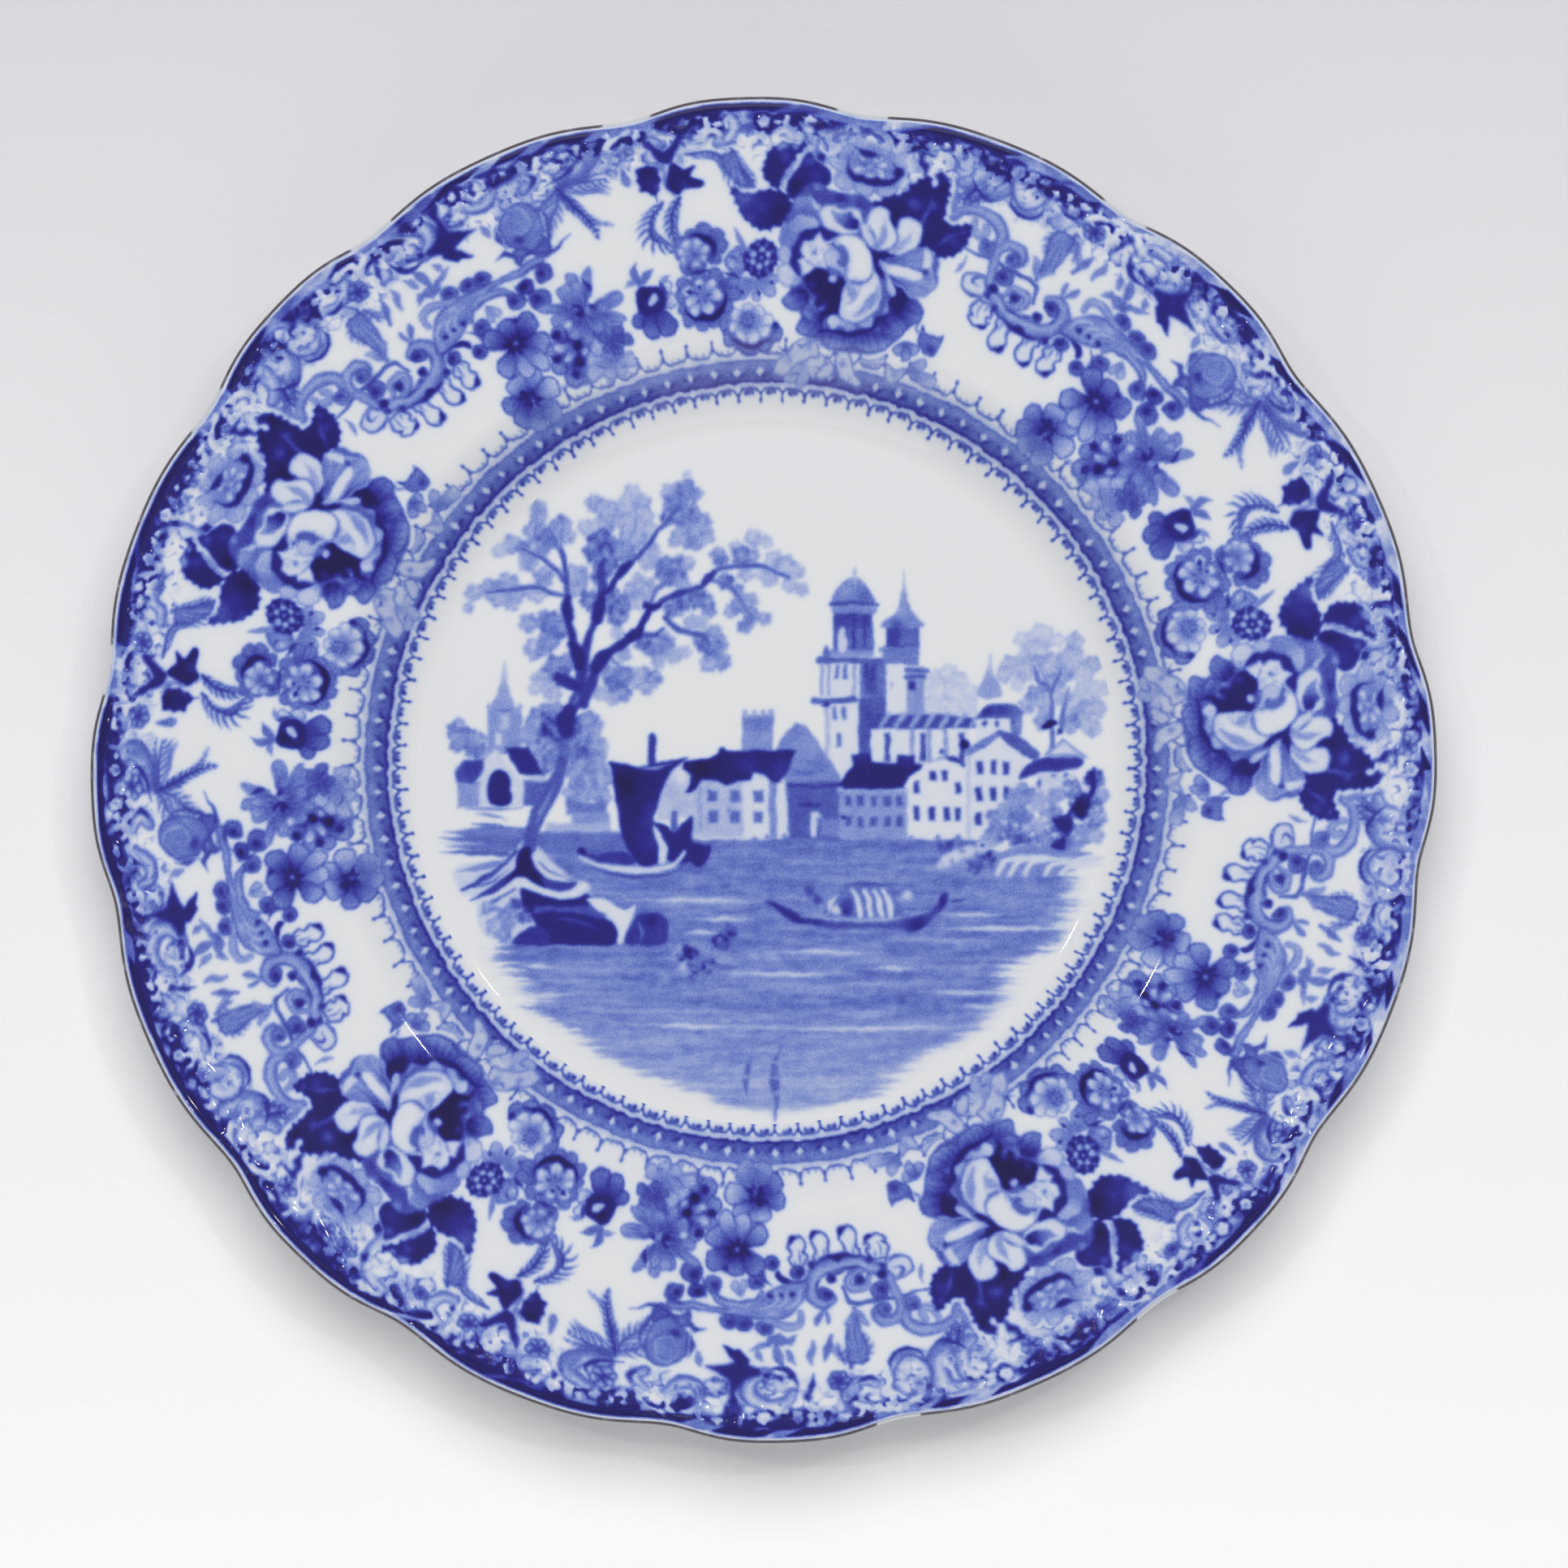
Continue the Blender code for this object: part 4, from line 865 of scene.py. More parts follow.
def inkOverBand(s):
    # pale flowers that lie over the band under each peony
    s.bloom(-5.4, 78.2, 5.6, 7, .2, .56, .5, turn=20, squash=.78, notch=.2, heartSize=.2)
    s.shape([(-9.8, 76.4), (-9, 79), (-7.6, 80.6), (-6.6, 82.6), (-5, 83.4), (-3.6, 82.6), (-3.2, 80.2),
        (-4.6, 79.2), (-6.2, 78), (-7.6, 76)], .18, edge=.3, edgeTone=.55, marks=[(-7.4, 79, 1, .4),
        (-4.8, 81.4, .7, .42)])
    s.shape([(-.9, 80.4), (-.2, 82.3), (.8, 82.2), (1.4, 80.6), (2.2, 78.4), (3.6, 76.6), (2.6, 75.5),
        (.8, 76.2), (-.4, 77.8)], .14, edge=.3, edgeTone=.55, marks=[(.2, 79.4, .7, .5),
        (1.6, 76.8, .6, .34)])
    s.shape([(-3.6, 76.2), (-2.6, 78.6), (-1.4, 79.6), (-.8, 78), (-1.2, 76.4), (-2.4, 75.4)], .2, edge=.3,
        edgeTone=.6)
    s.shape([(2.4, 81.2), (4.4, 81.6), (5.6, 82.6), (6, 81.4), (4.6, 80.6), (2.6, 80.3)], .14, edge=.25,
        edgeTone=.5)
    s.shape([(6.1, 81.4), (7.4, 81), (9, 81.6), (8.6, 79.4), (7.6, 77.8), (6.4, 78.8)], .2, edge=.35,
        edgeTone=.52, marks=[(7.8, 80, .7, .42)])
    s.lines(.4, .62, [(-7.6, 75.4), (-6.4, 76.4), (-5, 76.4)], [(-3.4, 75.2), (-2.6, 74.6), (-1, 74.8)],
        [(-9, 81.6), (-7.8, 80.4), (-7.2, 79)], [(-6.6, 82.3), (-5.6, 81.4), (-4.8, 82.6)])
    s.dots((-4.8, 82.4, .5, .55), (-1.6, 82.6, .6, .3), (-3, 82.4, .5, .6))


def mouldedRim():
    # the moulded pattern under the glaze: roses, scrolls off the cusps and small leaves between;
    # one repeat of 45 degrees, the same on both sides of a wide lobe's middle; ink here means height
    pitch = 0.25
    around = np.arange(-22.5 * rimAspect, 22.5 * rimAspect, pitch)
    s = Sheet(around, np.arange(112, 131, pitch), rimAspect, 45 * rimAspect, wobble=0.12, seed=41)
    draws = np.random.default_rng(5)
    for low, step, size in ((116.4, 3.9, 1.5), (119.2, 3.1, 1.5), (122.4, 3.3, 1.7), (125.4, 2.9, 1.35)):
        for at in np.arange(1.0, 47, step):
            kind = draws.integers(5)
            turn = draws.uniform(0, 6.3)
            across = draws.uniform(-0.6, 0.6)
            up = draws.uniform(-0.7, 0.7)
            for side in (-1, 1):
                k, r = side * (at + across) / rimAspect, low + up
                turns = [turn + a for a in (0, 1.2, 2.4, 3.6, 4.8)]
                tips = [(k + side * size * np.cos(a) / rimAspect, r + size * np.sin(a)) for a in turns]
                if kind == 0:
                    for tip in tips:
                        s.dot((k + tip[0]) / 2, (r + tip[1]) / 2, size * 0.42, 0.8, soft=0.3)
                    s.dot(k, r, 0.3, 0.35, soft=0.3)
                elif kind == 1:
                    s.line(tips[:4], 0.8, 0.75, soft=0.35, tips=(0.3, 1))
                else:
                    for tip in tips[: kind - 1]:
                        s.line([(k, r), ((k + tip[0]) / 2 + 0.1, (r + tip[1]) / 2), tip], 0.95, 0.7,
                            soft=0.35, tips=(0.5, 0.4))
    for side in (-1, 1):
        c = 12.35 * side
        for way in (-1, 1):
            s.line([(c, 126.4), (c + 1.5 * way, 125.6), (c + 2.6 * way, 124.2), (c + 2.8 * way, 122.6),
                (c + 2.1 * way, 121.6), (c + 1.4 * way, 122.4)], 0.9, 0.85, soft=0.35)
        s.line([(c, 125.4), (c, 122), (c, 119.4)], 1.1, 0.8, soft=0.4, tips=(0.3, 0.6))
    for c in (-4.5, 4.5, 22.5):
        for size, count, height in ((2.3, 7, 0.8), (1.2, 5, 0.95)):
            for a in np.arange(count) * 2 * np.pi / count + c:
                k, r = c + size * 0.6 * np.cos(a) / rimAspect, 122.4 + size * 0.6 * np.sin(a)
                s.dot(k, r, size * 0.29, height, soft=0.3)
        s.dot(c, 122.4, 0.4, 0.3, soft=0.3)
    return s


def cuspGap(angle, drop):
    # 1 where a cusp has stayed bare of groove colour and lustre, 0 elsewhere
    return ease((drop - 0.7) / 0.2) * ease(grain(angle, angle * 0, 9.0, 66) * 6 + 1.8)


def plateInk(border, relief, hollows, x, y):
    # ink and moulded height anywhere on the front, from the strips' drawing laid out round the plate
    r, angle = np.hypot(x, y), np.degrees(np.arctan2(y, x)) % 360
    px, py = x - borderPrint["offset"][0], y - borderPrint["offset"][1]
    turn = np.degrees(np.arctan2(py, px)) % 360
    k, strength = np.zeros(x.shape), np.ones(x.shape)
    best, half = np.full(x.shape, 1e9), borderPrint["halfLength"]
    for peony, left, right, tone in borderPrint["strips"]:
        d = (peony - turn + 180) % 360 - 180
        reach = np.where(d < 0, left, right)
        close = np.abs(d) / reach
        # shapes keep their size near the peony; what the joint needs is taken up further out
        start = 17.0
        beyond = (np.abs(d) - start) * (half - start) / (reach - start)
        spread = np.where(np.abs(d) < start, d, np.sign(d) * (start + beyond))
        nearer = close < best
        best = np.where(nearer, close, best)
        k, strength = np.where(nearer, spread, k), np.where(nearer, tone, strength)
    printR = np.hypot(px, py) + 0.75
    ink = border.read(k * aspect, printR) * strength
    # the moulded zone: colour pooled round the raised parts and towards the edge, worn pale on top of them
    drop = lobeDrop(angle)
    inset = plateShape["edgeRadius"] - plateShape["lobeDepth"] * drop - r
    around = ((angle - 24 + 22.5) % 45 - 22.5) * rimAspect
    height, pooled = relief.read(around, r + 0.5 * drop), hollows.read(around, r + 0.5 * drop)
    blot = grain(x, y, 4.2, 51) + 0.6 * grain(x, y, 2.1, 52) + 0.4 * grain(x, y, 1.0, 53)
    hint = ease((r - 116.6 + 1.9 * grain(x, y, 3.1, 54)) / 3)
    zone = ease((r - 120.9 + 2.2 * grain(x, y, 3.1, 54)) / 3.6)
    crest = ease((height - 0.32) / 0.3)
    strong = 0.5 + 0.5 * np.cos(np.radians(angle - 200))  # the ink lies thicker on one side of the plate
    gathered = np.maximum(pooled - height - 0.03, 0)
    ground = 0.35 + 0.14 * strong + 4.0 * gathered + 0.42 * blot + 0.16 * ease((r - 121) / 6)
    dark = ease((grain(x, y, 5.0, 55) + 0.02) * 3) * ease((r - 123.6 + 2 * blot) / 1.4)
    ground = np.clip(ground + (0.97 - ground) * dark * (1 - crest), 0.04, 0.95)
    outline = 0.14 + 0.24 * blot + 2.6 * gathered
    ink = np.maximum(ink, np.clip(outline, 0, 0.6) * hint)
    ink = np.maximum(ink, ground * zone)
    worn = 0.2 + 0.8 * ease(grain(x, y, 2.8, 57) * 2.2 + 0.5)
    crestTone = 0.02 + 0.18 * ease(blot) + 0.13 * ease((0.9 - height) * 3)
    ink += (crestTone - ink) * crest * zone * 0.85 * worn * ease((1.15 - 0.9 * ink) * 2)
    # the edge: dark groove with slanting gaps, pale bead, thin lines
    slant = angle + 1.1 * (r - 128)
    broken = ease((grain(slant, r * 0, 2.3, 61) + 0.1 + 1.1 * strong) * 2.2) * (1 - cuspGap(angle, drop))
    groove = ease((inset - 1.15) / 0.4) * ease((3.1 + 0.5 * grain(angle, r * 0.3, 0.9, 62) - inset) / 0.6)
    ink += (0.12 + 0.86 * broken - ink) * groove * (0.45 + 0.55 * broken)
    bead = ease((1.4 - inset) / 0.4)
    beadTone = 0.03 + 0.14 * ease(grain(slant, r * 0, 1.1, 63))
    beadTone += 0.26 * np.exp(-(((inset - 0.75) / 0.14) ** 2))
    beadTone += 0.25 * (0.5 + 0.5 * grain(slant, inset * 2, 0.35, 64)) * ease((inset - 0.8) / 0.5)
    ink += (beadTone - ink) * bead
    height = height * zone * (1 - ease((r - 126) / 2)) * 0.42
    height = height + 0.25 * np.exp(-(((inset - 0.95) / 0.5) ** 2))
    height = height - 0.22 * np.exp(-(((inset - 2.2) / 0.7) ** 2))
    return np.clip(ink, 0, 1), height


def inkFarBank(s):
    # pale trees and the small far spire
    s.clumps((33.6, 17.4, 2, .14), (36, 18.8, 1.9, .15), (38.2, 17.4, 1.9, .15), (34, 14.6, 2.5, .14),
        (37.4, 14.4, 2.5, .15), (40, 15.2, 1.7, .12), (32.8, 12.4, 2.1, .15), (39.8, 12.6, 1.9, .14),
        (36, 12, 2.1, .13))
    s.shape([(44, 22.8), (44.9, 18.6), (46.1, 16.2), (46, 14.2), (41.8, 14.2), (41.9, 16.2), (43.1, 18.6)],
        .4, marks=[(44, 21, 2, .2)])
    s.clumps((50.4, 25.4, 1.7, .18), (54, 26, 2.5, .17), (57.2, 25.4, 1.5, .15), (60.6, 25.2, 1.8, .27),
        (51, 22, 1.8, .24), (53.6, 23.4, 2.1, .22), (48, 20.4, 1.9, .3), (46.8, 18.4, 1.5, .22),
        (50.6, 19.4, 2.3, .25), (53.8, 20.6, 2, .34), (56.6, 21, 2.1, .3), (60, 21.8, 2.5, .28),
        (64, 20.6, 1.7, .27), (62, 18.6, 2.1, .22), (53, 14.6, 2.1, .38), (51.4, 12.6, 1.7, .32),
        (56.6, 17, 2.1, .38), (58.8, 18.6, 1.5, .36), (62.4, 14.6, 2.5, .22), (65.2, 15.8, 1.8, .18),
        (65.2, 12, 1.7, .25), (61.8, 11, 2.5, .33), (59.6, 9.2, 2.1, .45), (64, 8.2, 1.9, .27),
        (54.4, 9.6, 1.8, .42), (49.4, 16.6, 1.4, .16), (58.4, 14, 1.8, .28), (55, 12, 1.6, .35))
    s.lines(.8, .62, [(56.3, 4.4), (56, 9), (56.1, 13), (55.2, 16.6), (54, 19.6)],
        [(58, 7.4), (58.4, 11.6), (59, 14), (59.6, 16.2)], [(56, 15), (57.4, 18.4), (58, 20.6)],
        [(55.4, 16.4), (53.6, 17.6), (52.4, 20.6)], tips=(1, .3))
    s.line([(54.6, 8.4), (55.8, 9), (56.8, 9.4)], 1.5, 1, tips=(.6, .7))
    s.line([(57.2, 7), (58.2, 8)], 1.2, .85)


def inkCathedral(s):
    s.block(12, -3, 18.6, 23, .06)
    s.block(10.7, 13.6, 18.6, 22, .08)
    s.block(11.9, -2, 12.7, 12.6, .32, .5)
    s.block(18.6, 13.6, 23.8, 21.8, .6)
    s.block(19.6, 15, 22, 20.8, .74, .5)
    s.block(18.4, 1, 21.4, 14, .74)
    s.block(21.2, 10, 23.8, 14, .7)
    for x, y, half in ((14.3, 19.1, 1.4), (15.9, 19.1, 1.4), (13.8, 11.1, 1.3), (15.6, 11.1, 1.3),
            (14.6, 5.9, 1.4)):
        s.block(x - .4, y - half, x + .4, y + half, .62, .3)
    s.block(19.5, 18, 20.2, 21, .85, .3)
    s.block(20.8, 18, 21.6, 21, .8, .3)
    s.lines(.5, .38, [(12.7, 15), (12.7, 21)], [(11.3, 15), (11.3, 21)], [(17.6, 14.6), (17.6, 20.4)],
        tips=(1, 1))
    s.lines(1.0, .7, [(10.8, 21.5), (24, 21.3)], [(9.8, 13.6), (13, 13.5), (17.6, 13.9)],
        [(19, 13), (24.2, 13)], tips=(1, 1))
    s.line([(13, 22.9), (20.8, 22.9)], 1.2, .42, tips=(1, 1))
    s.line([(12.2, 21.4), (12.1, 24)], 1.3, .62, tips=(1, .4))
    s.line([(12.1, 13.4), (12.4, 12.4)], 1.7, .92)
    # dome and drum
    s.block(13.5, 23.4, 21.3, 31, .76)
    s.block(16.4, 23.6, 21.2, 27.6, .64, .6)
    s.line([(15.3, 23.8), (15.3, 27.2)], 1.5, .14, soft=.35, tips=(1, .7), darken=False)
    s.block(17.2, 24, 17.8, 30.4, .86, .3)
    s.block(19.4, 24, 19.9, 30.4, .84, .3)
    s.shape([(13.2, 32), (13.5, 34), (14.9, 36.3), (16.8, 37.7), (18.2, 37.7), (19.8, 36.2), (21, 34.2),
        (21.8, 32), (17.5, 31.6)], .56, veins=(17.5, 29, 40, .05), marks=[(16, 35, 1.6, .42),
        (20, 33.6, 1.5, .66), (17.4, 37.4, 1, .34)])
    s.line([(17.6, 37.4), (17.8, 39.8)], .7, .3)
    s.line([(13.2, 32.4), (17.6, 32.7), (22.2, 32.1)], .7, .8, tips=(1, .7))
    s.line([(13.6, 31.2), (21.6, 31.1)], .8, .5, darken=False, tips=(1, 1))
    # the second tower
    s.block(23, 20.4, 30.1, 24.2, .56)
    s.block(23.8, 10.8, 27.7, 20.6, .06)
    s.block(27.7, 10.8, 31.4, 20.2, .44)
    s.block(28, 15.8, 29.6, 17.4, .86, .35)
    s.lines(.8, .68, [(27.8, 19.6), (31.8, 19.2)], [(27.8, 18.2), (31.2, 18.1)], tips=(1, 1))
    s.line([(24.7, 15.8), (24.7, 17.4)], .7, .3)
    s.block(23.8, 24, 30.3, 28.6, .8)
    s.block(26.6, 24.2, 29.8, 27.6, .66, .6)
    s.shape([(27.2, 39.2), (27.7, 34.6), (28.3, 32), (30.2, 29.6), (30.8, 27.8), (23, 27.8), (23.4, 29.2),
        (25.8, 31), (26.7, 34.4)], .5, marks=[(27.2, 37, 2.4, .26), (26.4, 31, 1.3, .38),
        (26, 28.2, 1.4, .72)])
    s.line([(23, 23.8), (22.4, 23)], 1.2, .5)
    # nave with its striped roof, and the far end
    s.block(20.8, 1.4, 40, 8.4, .06)
    s.shape([(19.6, 11), (24, 10.8), (33, 10.9), (42, 10.3), (41.6, 8.2), (30, 8), (20, 8.2)], .78,
        sharp=True)
    for x in np.arange(23.4, 41, 2.9):
        s.line([(x - .5, 8.6), (x + 1, 10.9)], .7, .36, soft=.35, darken=False, tips=(.8, .8))
    for x, low in ((24, 1.8), (31, 1.6), (38.6, .4)):
        s.block(x - .55, low, x + .55, 7.2, .78, .3)
    s.lines(.7, .42, [(28.8, 2), (28.8, 8)], [(35.5, 3.4), (35.3, 8)], [(32.2, 2), (32.2, 8)], tips=(1, 1))
    s.line([(34.4, 4.2), (35, 3)], 1, .75)
    s.line([(35.2, 2.9), (37, 2), (39, 1)], 1.2, .86)
    s.dots((39.2, 5, 1, 1), soft=.4)
    s.shape([(41.3, 10.2), (42.4, 12), (43.6, 13), (49, 12.9), (50.4, 11.4), (50.4, 7), (48.2, 6.4),
        (48, 10), (44, 10)], .62, sharp=True, marks=[(43.6, 11.6, 1.7, .88), (46.4, 11.8, 1.6, .84),
        (50, 9, 1.4, .5)])
    s.block(41.4, 5, 47.6, 10, .08)
    s.lines(.8, .8, [(43, 8.4), (43, 9.8)], [(45.6, 8.2), (45.4, 10)], [(48.6, 8.6), (48.6, 10)])


def inkTown(s):
    # square tower and gable behind the sailing boat
    s.block(-4.2, 3.6, 1.9, 10.8, .45)
    s.block(-3.8, 7.6, 1.7, 10.2, .56, .6)
    for x in (-3.7, -1.9, -.1, 1.4):
        s.block(x - .5, 10.4, x + .5, 11.8, .36)
    s.shape([(2, 3.4), (3.8, 6.6), (6, 9.2), (8.2, 8.8), (10, 6.4), (12.4, 2.8), (15, -1.4), (15.2, -13.6),
        (4, -13.8), (4, 0)], .5, sharp=True, marks=[(6, 8, 1.4, .58), (8.4, 5, 2, .42), (11, 1, 2, .56)])
    s.block(4.2, -13.8, 15, -2.2, .7)
    s.lines(.8, .82, [(4.6, -2.6), (10, -3.2), (15, -2.8)], [(6.6, -6.6), (10.6, -6.7)], tips=(1, 1))
    s.line([(4.4, 0), (8.6, -.6), (12.4, .4)], 1, .62)
    s.block(9.1, -13, 10.3, -8, .12)
    s.line([(10, -8.2), (11.4, -9.6)], .6, .2, darken=False)
    s.block(11, -13, 15, -9.6, .52, .4)
    # white fronts under the long dark roof
    s.shape([(-16.8, 2), (-14.2, .6), (-12, -1.6), (-4, -2.6), (0, -.6), (4.4, -2), (4.8, -13.2),
        (-14, -13.2), (-14.3, -9), (-20.6, -9.8), (-20.6, -4), (-18.8, -.8)], .2, sharp=True,
        marks=[(-16, -1, 1.6, .06), (-18.6, -4, 1.6, .3), (-16.4, -6.6, 1.8, .3)])
    s.block(-13.8, -12.8, -4.2, -2, .26, .4)
    s.block(-4, -13.6, .8, -1.6, .08)
    s.block(1, -13.8, 2.4, -2, .5, .35)
    s.block(2.6, -13.2, 4.3, -2.6, .08)
    s.block(-12.8, -12, -12.2, -3, .4, .4)
    for x in (-10, -5.6, -1.2):
        for y in (-5, -9.1):
            s.block(x - .95, y - 1.1, x + .95, y + 1.1, .66, .35)
    s.lines(1, .5, [(-6.4, -7.6), (-7.4, -8)], [(.4, -12.4), (.4, -13.4)], [(-1.8, -13), (-1.8, -13.8)],
        [(3.2, -12.8), (4.4, -13)])
    s.shape([(-15.7, 1.5), (-13.8, 1.9), (-11, 2.1), (-9.2, 3.2), (-8.6, 4.5), (-7.8, 4.5), (-7.2, 3.8),
        (-2, 3.9), (6.2, 3.8), (5.4, 2), (4.4, -.6), (3, -2.4), (1.6, -2.2), (.2, -1.2), (-2, -.4),
        (-2.4, -2.2), (-5, -2.3), (-7.4, -3.1), (-9.4, -2), (-12, -2), (-13.2, -3.6), (-14.6, -4.5),
        (-15.6, -4.3), (-14.4, -2.6), (-14.3, -.8), (-15.8, .2)], .95, sharp=True,
        marks=[(-3, 1, 2, .88), (3, 0, 2, .84), (-12, .4, 2.4, 1)])
    # front house with the other dark roof, its chimneys, its shaded wall
    s.block(14.6, -13.8, 28, -3.4, .42)
    for x in (16.4, 18.9, 21.4, 24, 26.4):
        s.block(x - .6, -7, x + .6, -5, .74, .3)
        s.block(x - .6, -11, x + .6, -9, .74, .3)
    s.line([(14.8, -9), (16, -9.4)], .9, .9)
    s.block(14.4, -4.2, 28, -3.4, .3, .3)
    s.shape([(14.6, -2.8), (16.6, 0), (17.4, 1.2), (17.2, 3.2), (20.8, 3.2), (21, 1.6), (25.8, 1.5),
        (25.8, 3.1), (29.4, 2.9), (29.6, 1.3), (31, 1), (30.4, 0), (28.2, -1.2), (27.2, -3.6), (16, -3.8)],
        .95, sharp=True, marks=[(19, 2.6, 1.3, .88), (27.6, 2.4, 1.3, .86)])
    # white gabled houses
    s.shape([(28, -3.4), (29.2, -1), (31.6, 1.2), (35.2, 2.4), (37.4, 1.4), (39.8, -.6), (39.8, -14.2),
        (28, -13.4)], .05, sharp=True)
    s.line([(31.2, 1.2), (35.2, 2.5), (38, 1.2)], .5, .36)
    for x, y, half in ((33, -1, .95), (35.2, -1, .95), (29.8, -3.4, 1.2), (37.8, -3.4, 1.2),
            (29.8, -8.4, 1.3), (32.7, -8.5, 1.3), (35.6, -8.5, 1.3), (37.8, -8.5, 1.3), (42.1, .5, 1.4),
            (44.8, .5, 1.4), (47.3, .4, 1.4), (41.9, -4.6, 1.4), (44.6, -4.6, 1.4), (47.3, -4.5, 1.3),
            (41.8, -9.5, 1.3)):
        if x > 40 and y > 0:
            continue
        s.block(x - .6, y - half, x + .6, y + half, .84, .3)
    s.lines(1, .5, [(33.9, -12.4), (34, -13.8)], [(37.8, -12.6), (38, -13.8)], [(28.4, -12.8), (29, -13.6)])
    s.shape([(40.2, 3.4), (46, 6.8), (51.4, 2.8), (50, -1), (48.4, -4), (45, -8), (44, -14.4),
        (40.2, -14.4)], .07, sharp=True)
    s.block(39.5, -14, 40.3, 3, .22, .4)
    for x, y in ((42.1, .5), (44.8, .5), (47.3, .4), (41.9, -4.6), (44.6, -4.6), (47.3, -4.5),
            (41.8, -9.5)):
        s.block(x - .6, y - 1.35, x + .6, y + 1.35, .84, .3)
    s.line([(39.8, 3.4), (43, 5.2), (46, 7.2)], 1.3, .56, tips=(1, .8))
    s.line([(46, 7.2), (49, 5.6), (52.6, 3)], 2.4, .7, tips=(.5, .8))
    s.shape([(49.8, -1.8), (50.6, .4), (53, 2), (56, 2.5), (61.8, 2.5), (61.6, .6), (58, -.2), (54, -.4),
        (51.8, -1.2)], .84)
    s.shape([(54.6, 2.8), (58.2, 6.2), (63.4, 2.4), (60, 2.6)], .1, edge=.4, edgeTone=.5, sharp=True)
    s.block(53, -4.4, 61, -.6, .14, .4)
    s.lines(1.1, .62, [(53.5, -1.4), (53.5, -3.8)], [(56.4, -.6), (56.4, -1.4)], [(58.6, -.6), (59, -1.4)])


def inkBushes(s):
    s.clumps((50.4, -5, 2.5, .45), (47.6, -8.4, 2.4, .42), (50.2, -9.4, 2.5, .52), (53.6, -6.4, 2.1, .34),
        (46, -11.6, 2.3, .58), (49.2, -12.8, 2.1, .62), (53.2, -11.4, 2.1, .34), (56, -8.6, 2.1, .42),
        (58.4, -10.8, 2.4, .8), (61.6, -7.2, 2.4, .9), (60, -3.8, 2.1, .55), (64.4, -1.8, 1.9, .7),
        (64.6, -5.6, 1.8, .56), (64.8, -9, 2.1, .45), (62.6, -12.2, 2.1, .5), (57.4, -14.6, 1.9, .8),
        (55, -13.4, 1.9, .42), (60.4, -14.4, 1.9, .46), (64.6, -12.8, 1.6, .34), (66, -4.6, 1.4, .38),
        (44, -13.4, 1.6, .36), (52, -13.6, 1.7, .5), (56.8, -5, 1.6, .34), (44.6, -8.8, 1.3, .5),
        (48.4, -6.2, 1.6, .35))
    s.dots((61.6, -7, 1.7, .98), (58.6, -10.6, 1.6, .93), (57.4, -15, 1.3, .92), (62.6, -5.4, 1.1, .93))
    s.dots((51.6, -7.2, .5, .12), (47, -10.2, .5, .15), (54.6, -9.4, .6, .12), (52.4, -12.4, .5, .1),
        (56.8, -12.6, .5, .12), (60, -6, .4, .2), (59, -3.6, .5, .15), (62.8, -9.8, .5, .15),
        (49, -10.8, .5, .2), (55.2, -6.8, .5, .15), (63, -3.6, .4, .2), (65, -7.4, .5, .2),
        (50.8, -11.2, .5, .15), (46.6, -12.8, .4, .2), (61, -13.2, .5, .2))
    s.shape([(44.6, -20.4), (44.8, -18), (47, -15.6), (52, -14.8), (59, -15.6), (64, -16.4), (60, -17.6),
        (61, -19.4), (56, -20.6), (50, -20.8)], .5)
    for x, tall in ((45.6, 3.2), (48, 3.2), (50.8, 2.9), (54.8, 2.2), (58, 1.6)):
        s.line([(x, -20.2), (x + 1.4, -20.2 + tall * .75), (x + 4.4, -20.2 + tall), (x + 9, -20.1 + tall)],
            .85, .1, darken=False, soft=.3, tips=(.8, .2))
    s.line([(60, -18), (63, -17.6), (67, -17)], 1.2, .12, darken=False)
    s.clumps((43.4, -17.6, 1.7, .72), (41, -19, 1.3, .66), (36.6, -14.6, 1.4, .66), (34.4, -15.6, 1.2, .6))
    s.dots((35.6, -17.6, 1.3, .12), (37.6, -16.8, 1.5, .14), (39.8, -16, 1.3, .16), (42.4, -15, 1.2, .2),
        (34.4, -18.6, .8, .2), (38.6, -18, .7, .4), (36.6, -17.8, .3, .6), (40.6, -17.2, .5, .5),
        (38.6, -15.8, .4, .5))
    s.line([(64.4, .2), (64, -3.6), (62.6, -7.4)], 1, .92, tips=(.6, 1))
    s.lines(.8, .8, [(49.8, -12.2), (50, -14.6)], [(51.4, -12.8), (51.6, -14.8)],
        [(42.4, -14.4), (42.6, -15.2)])


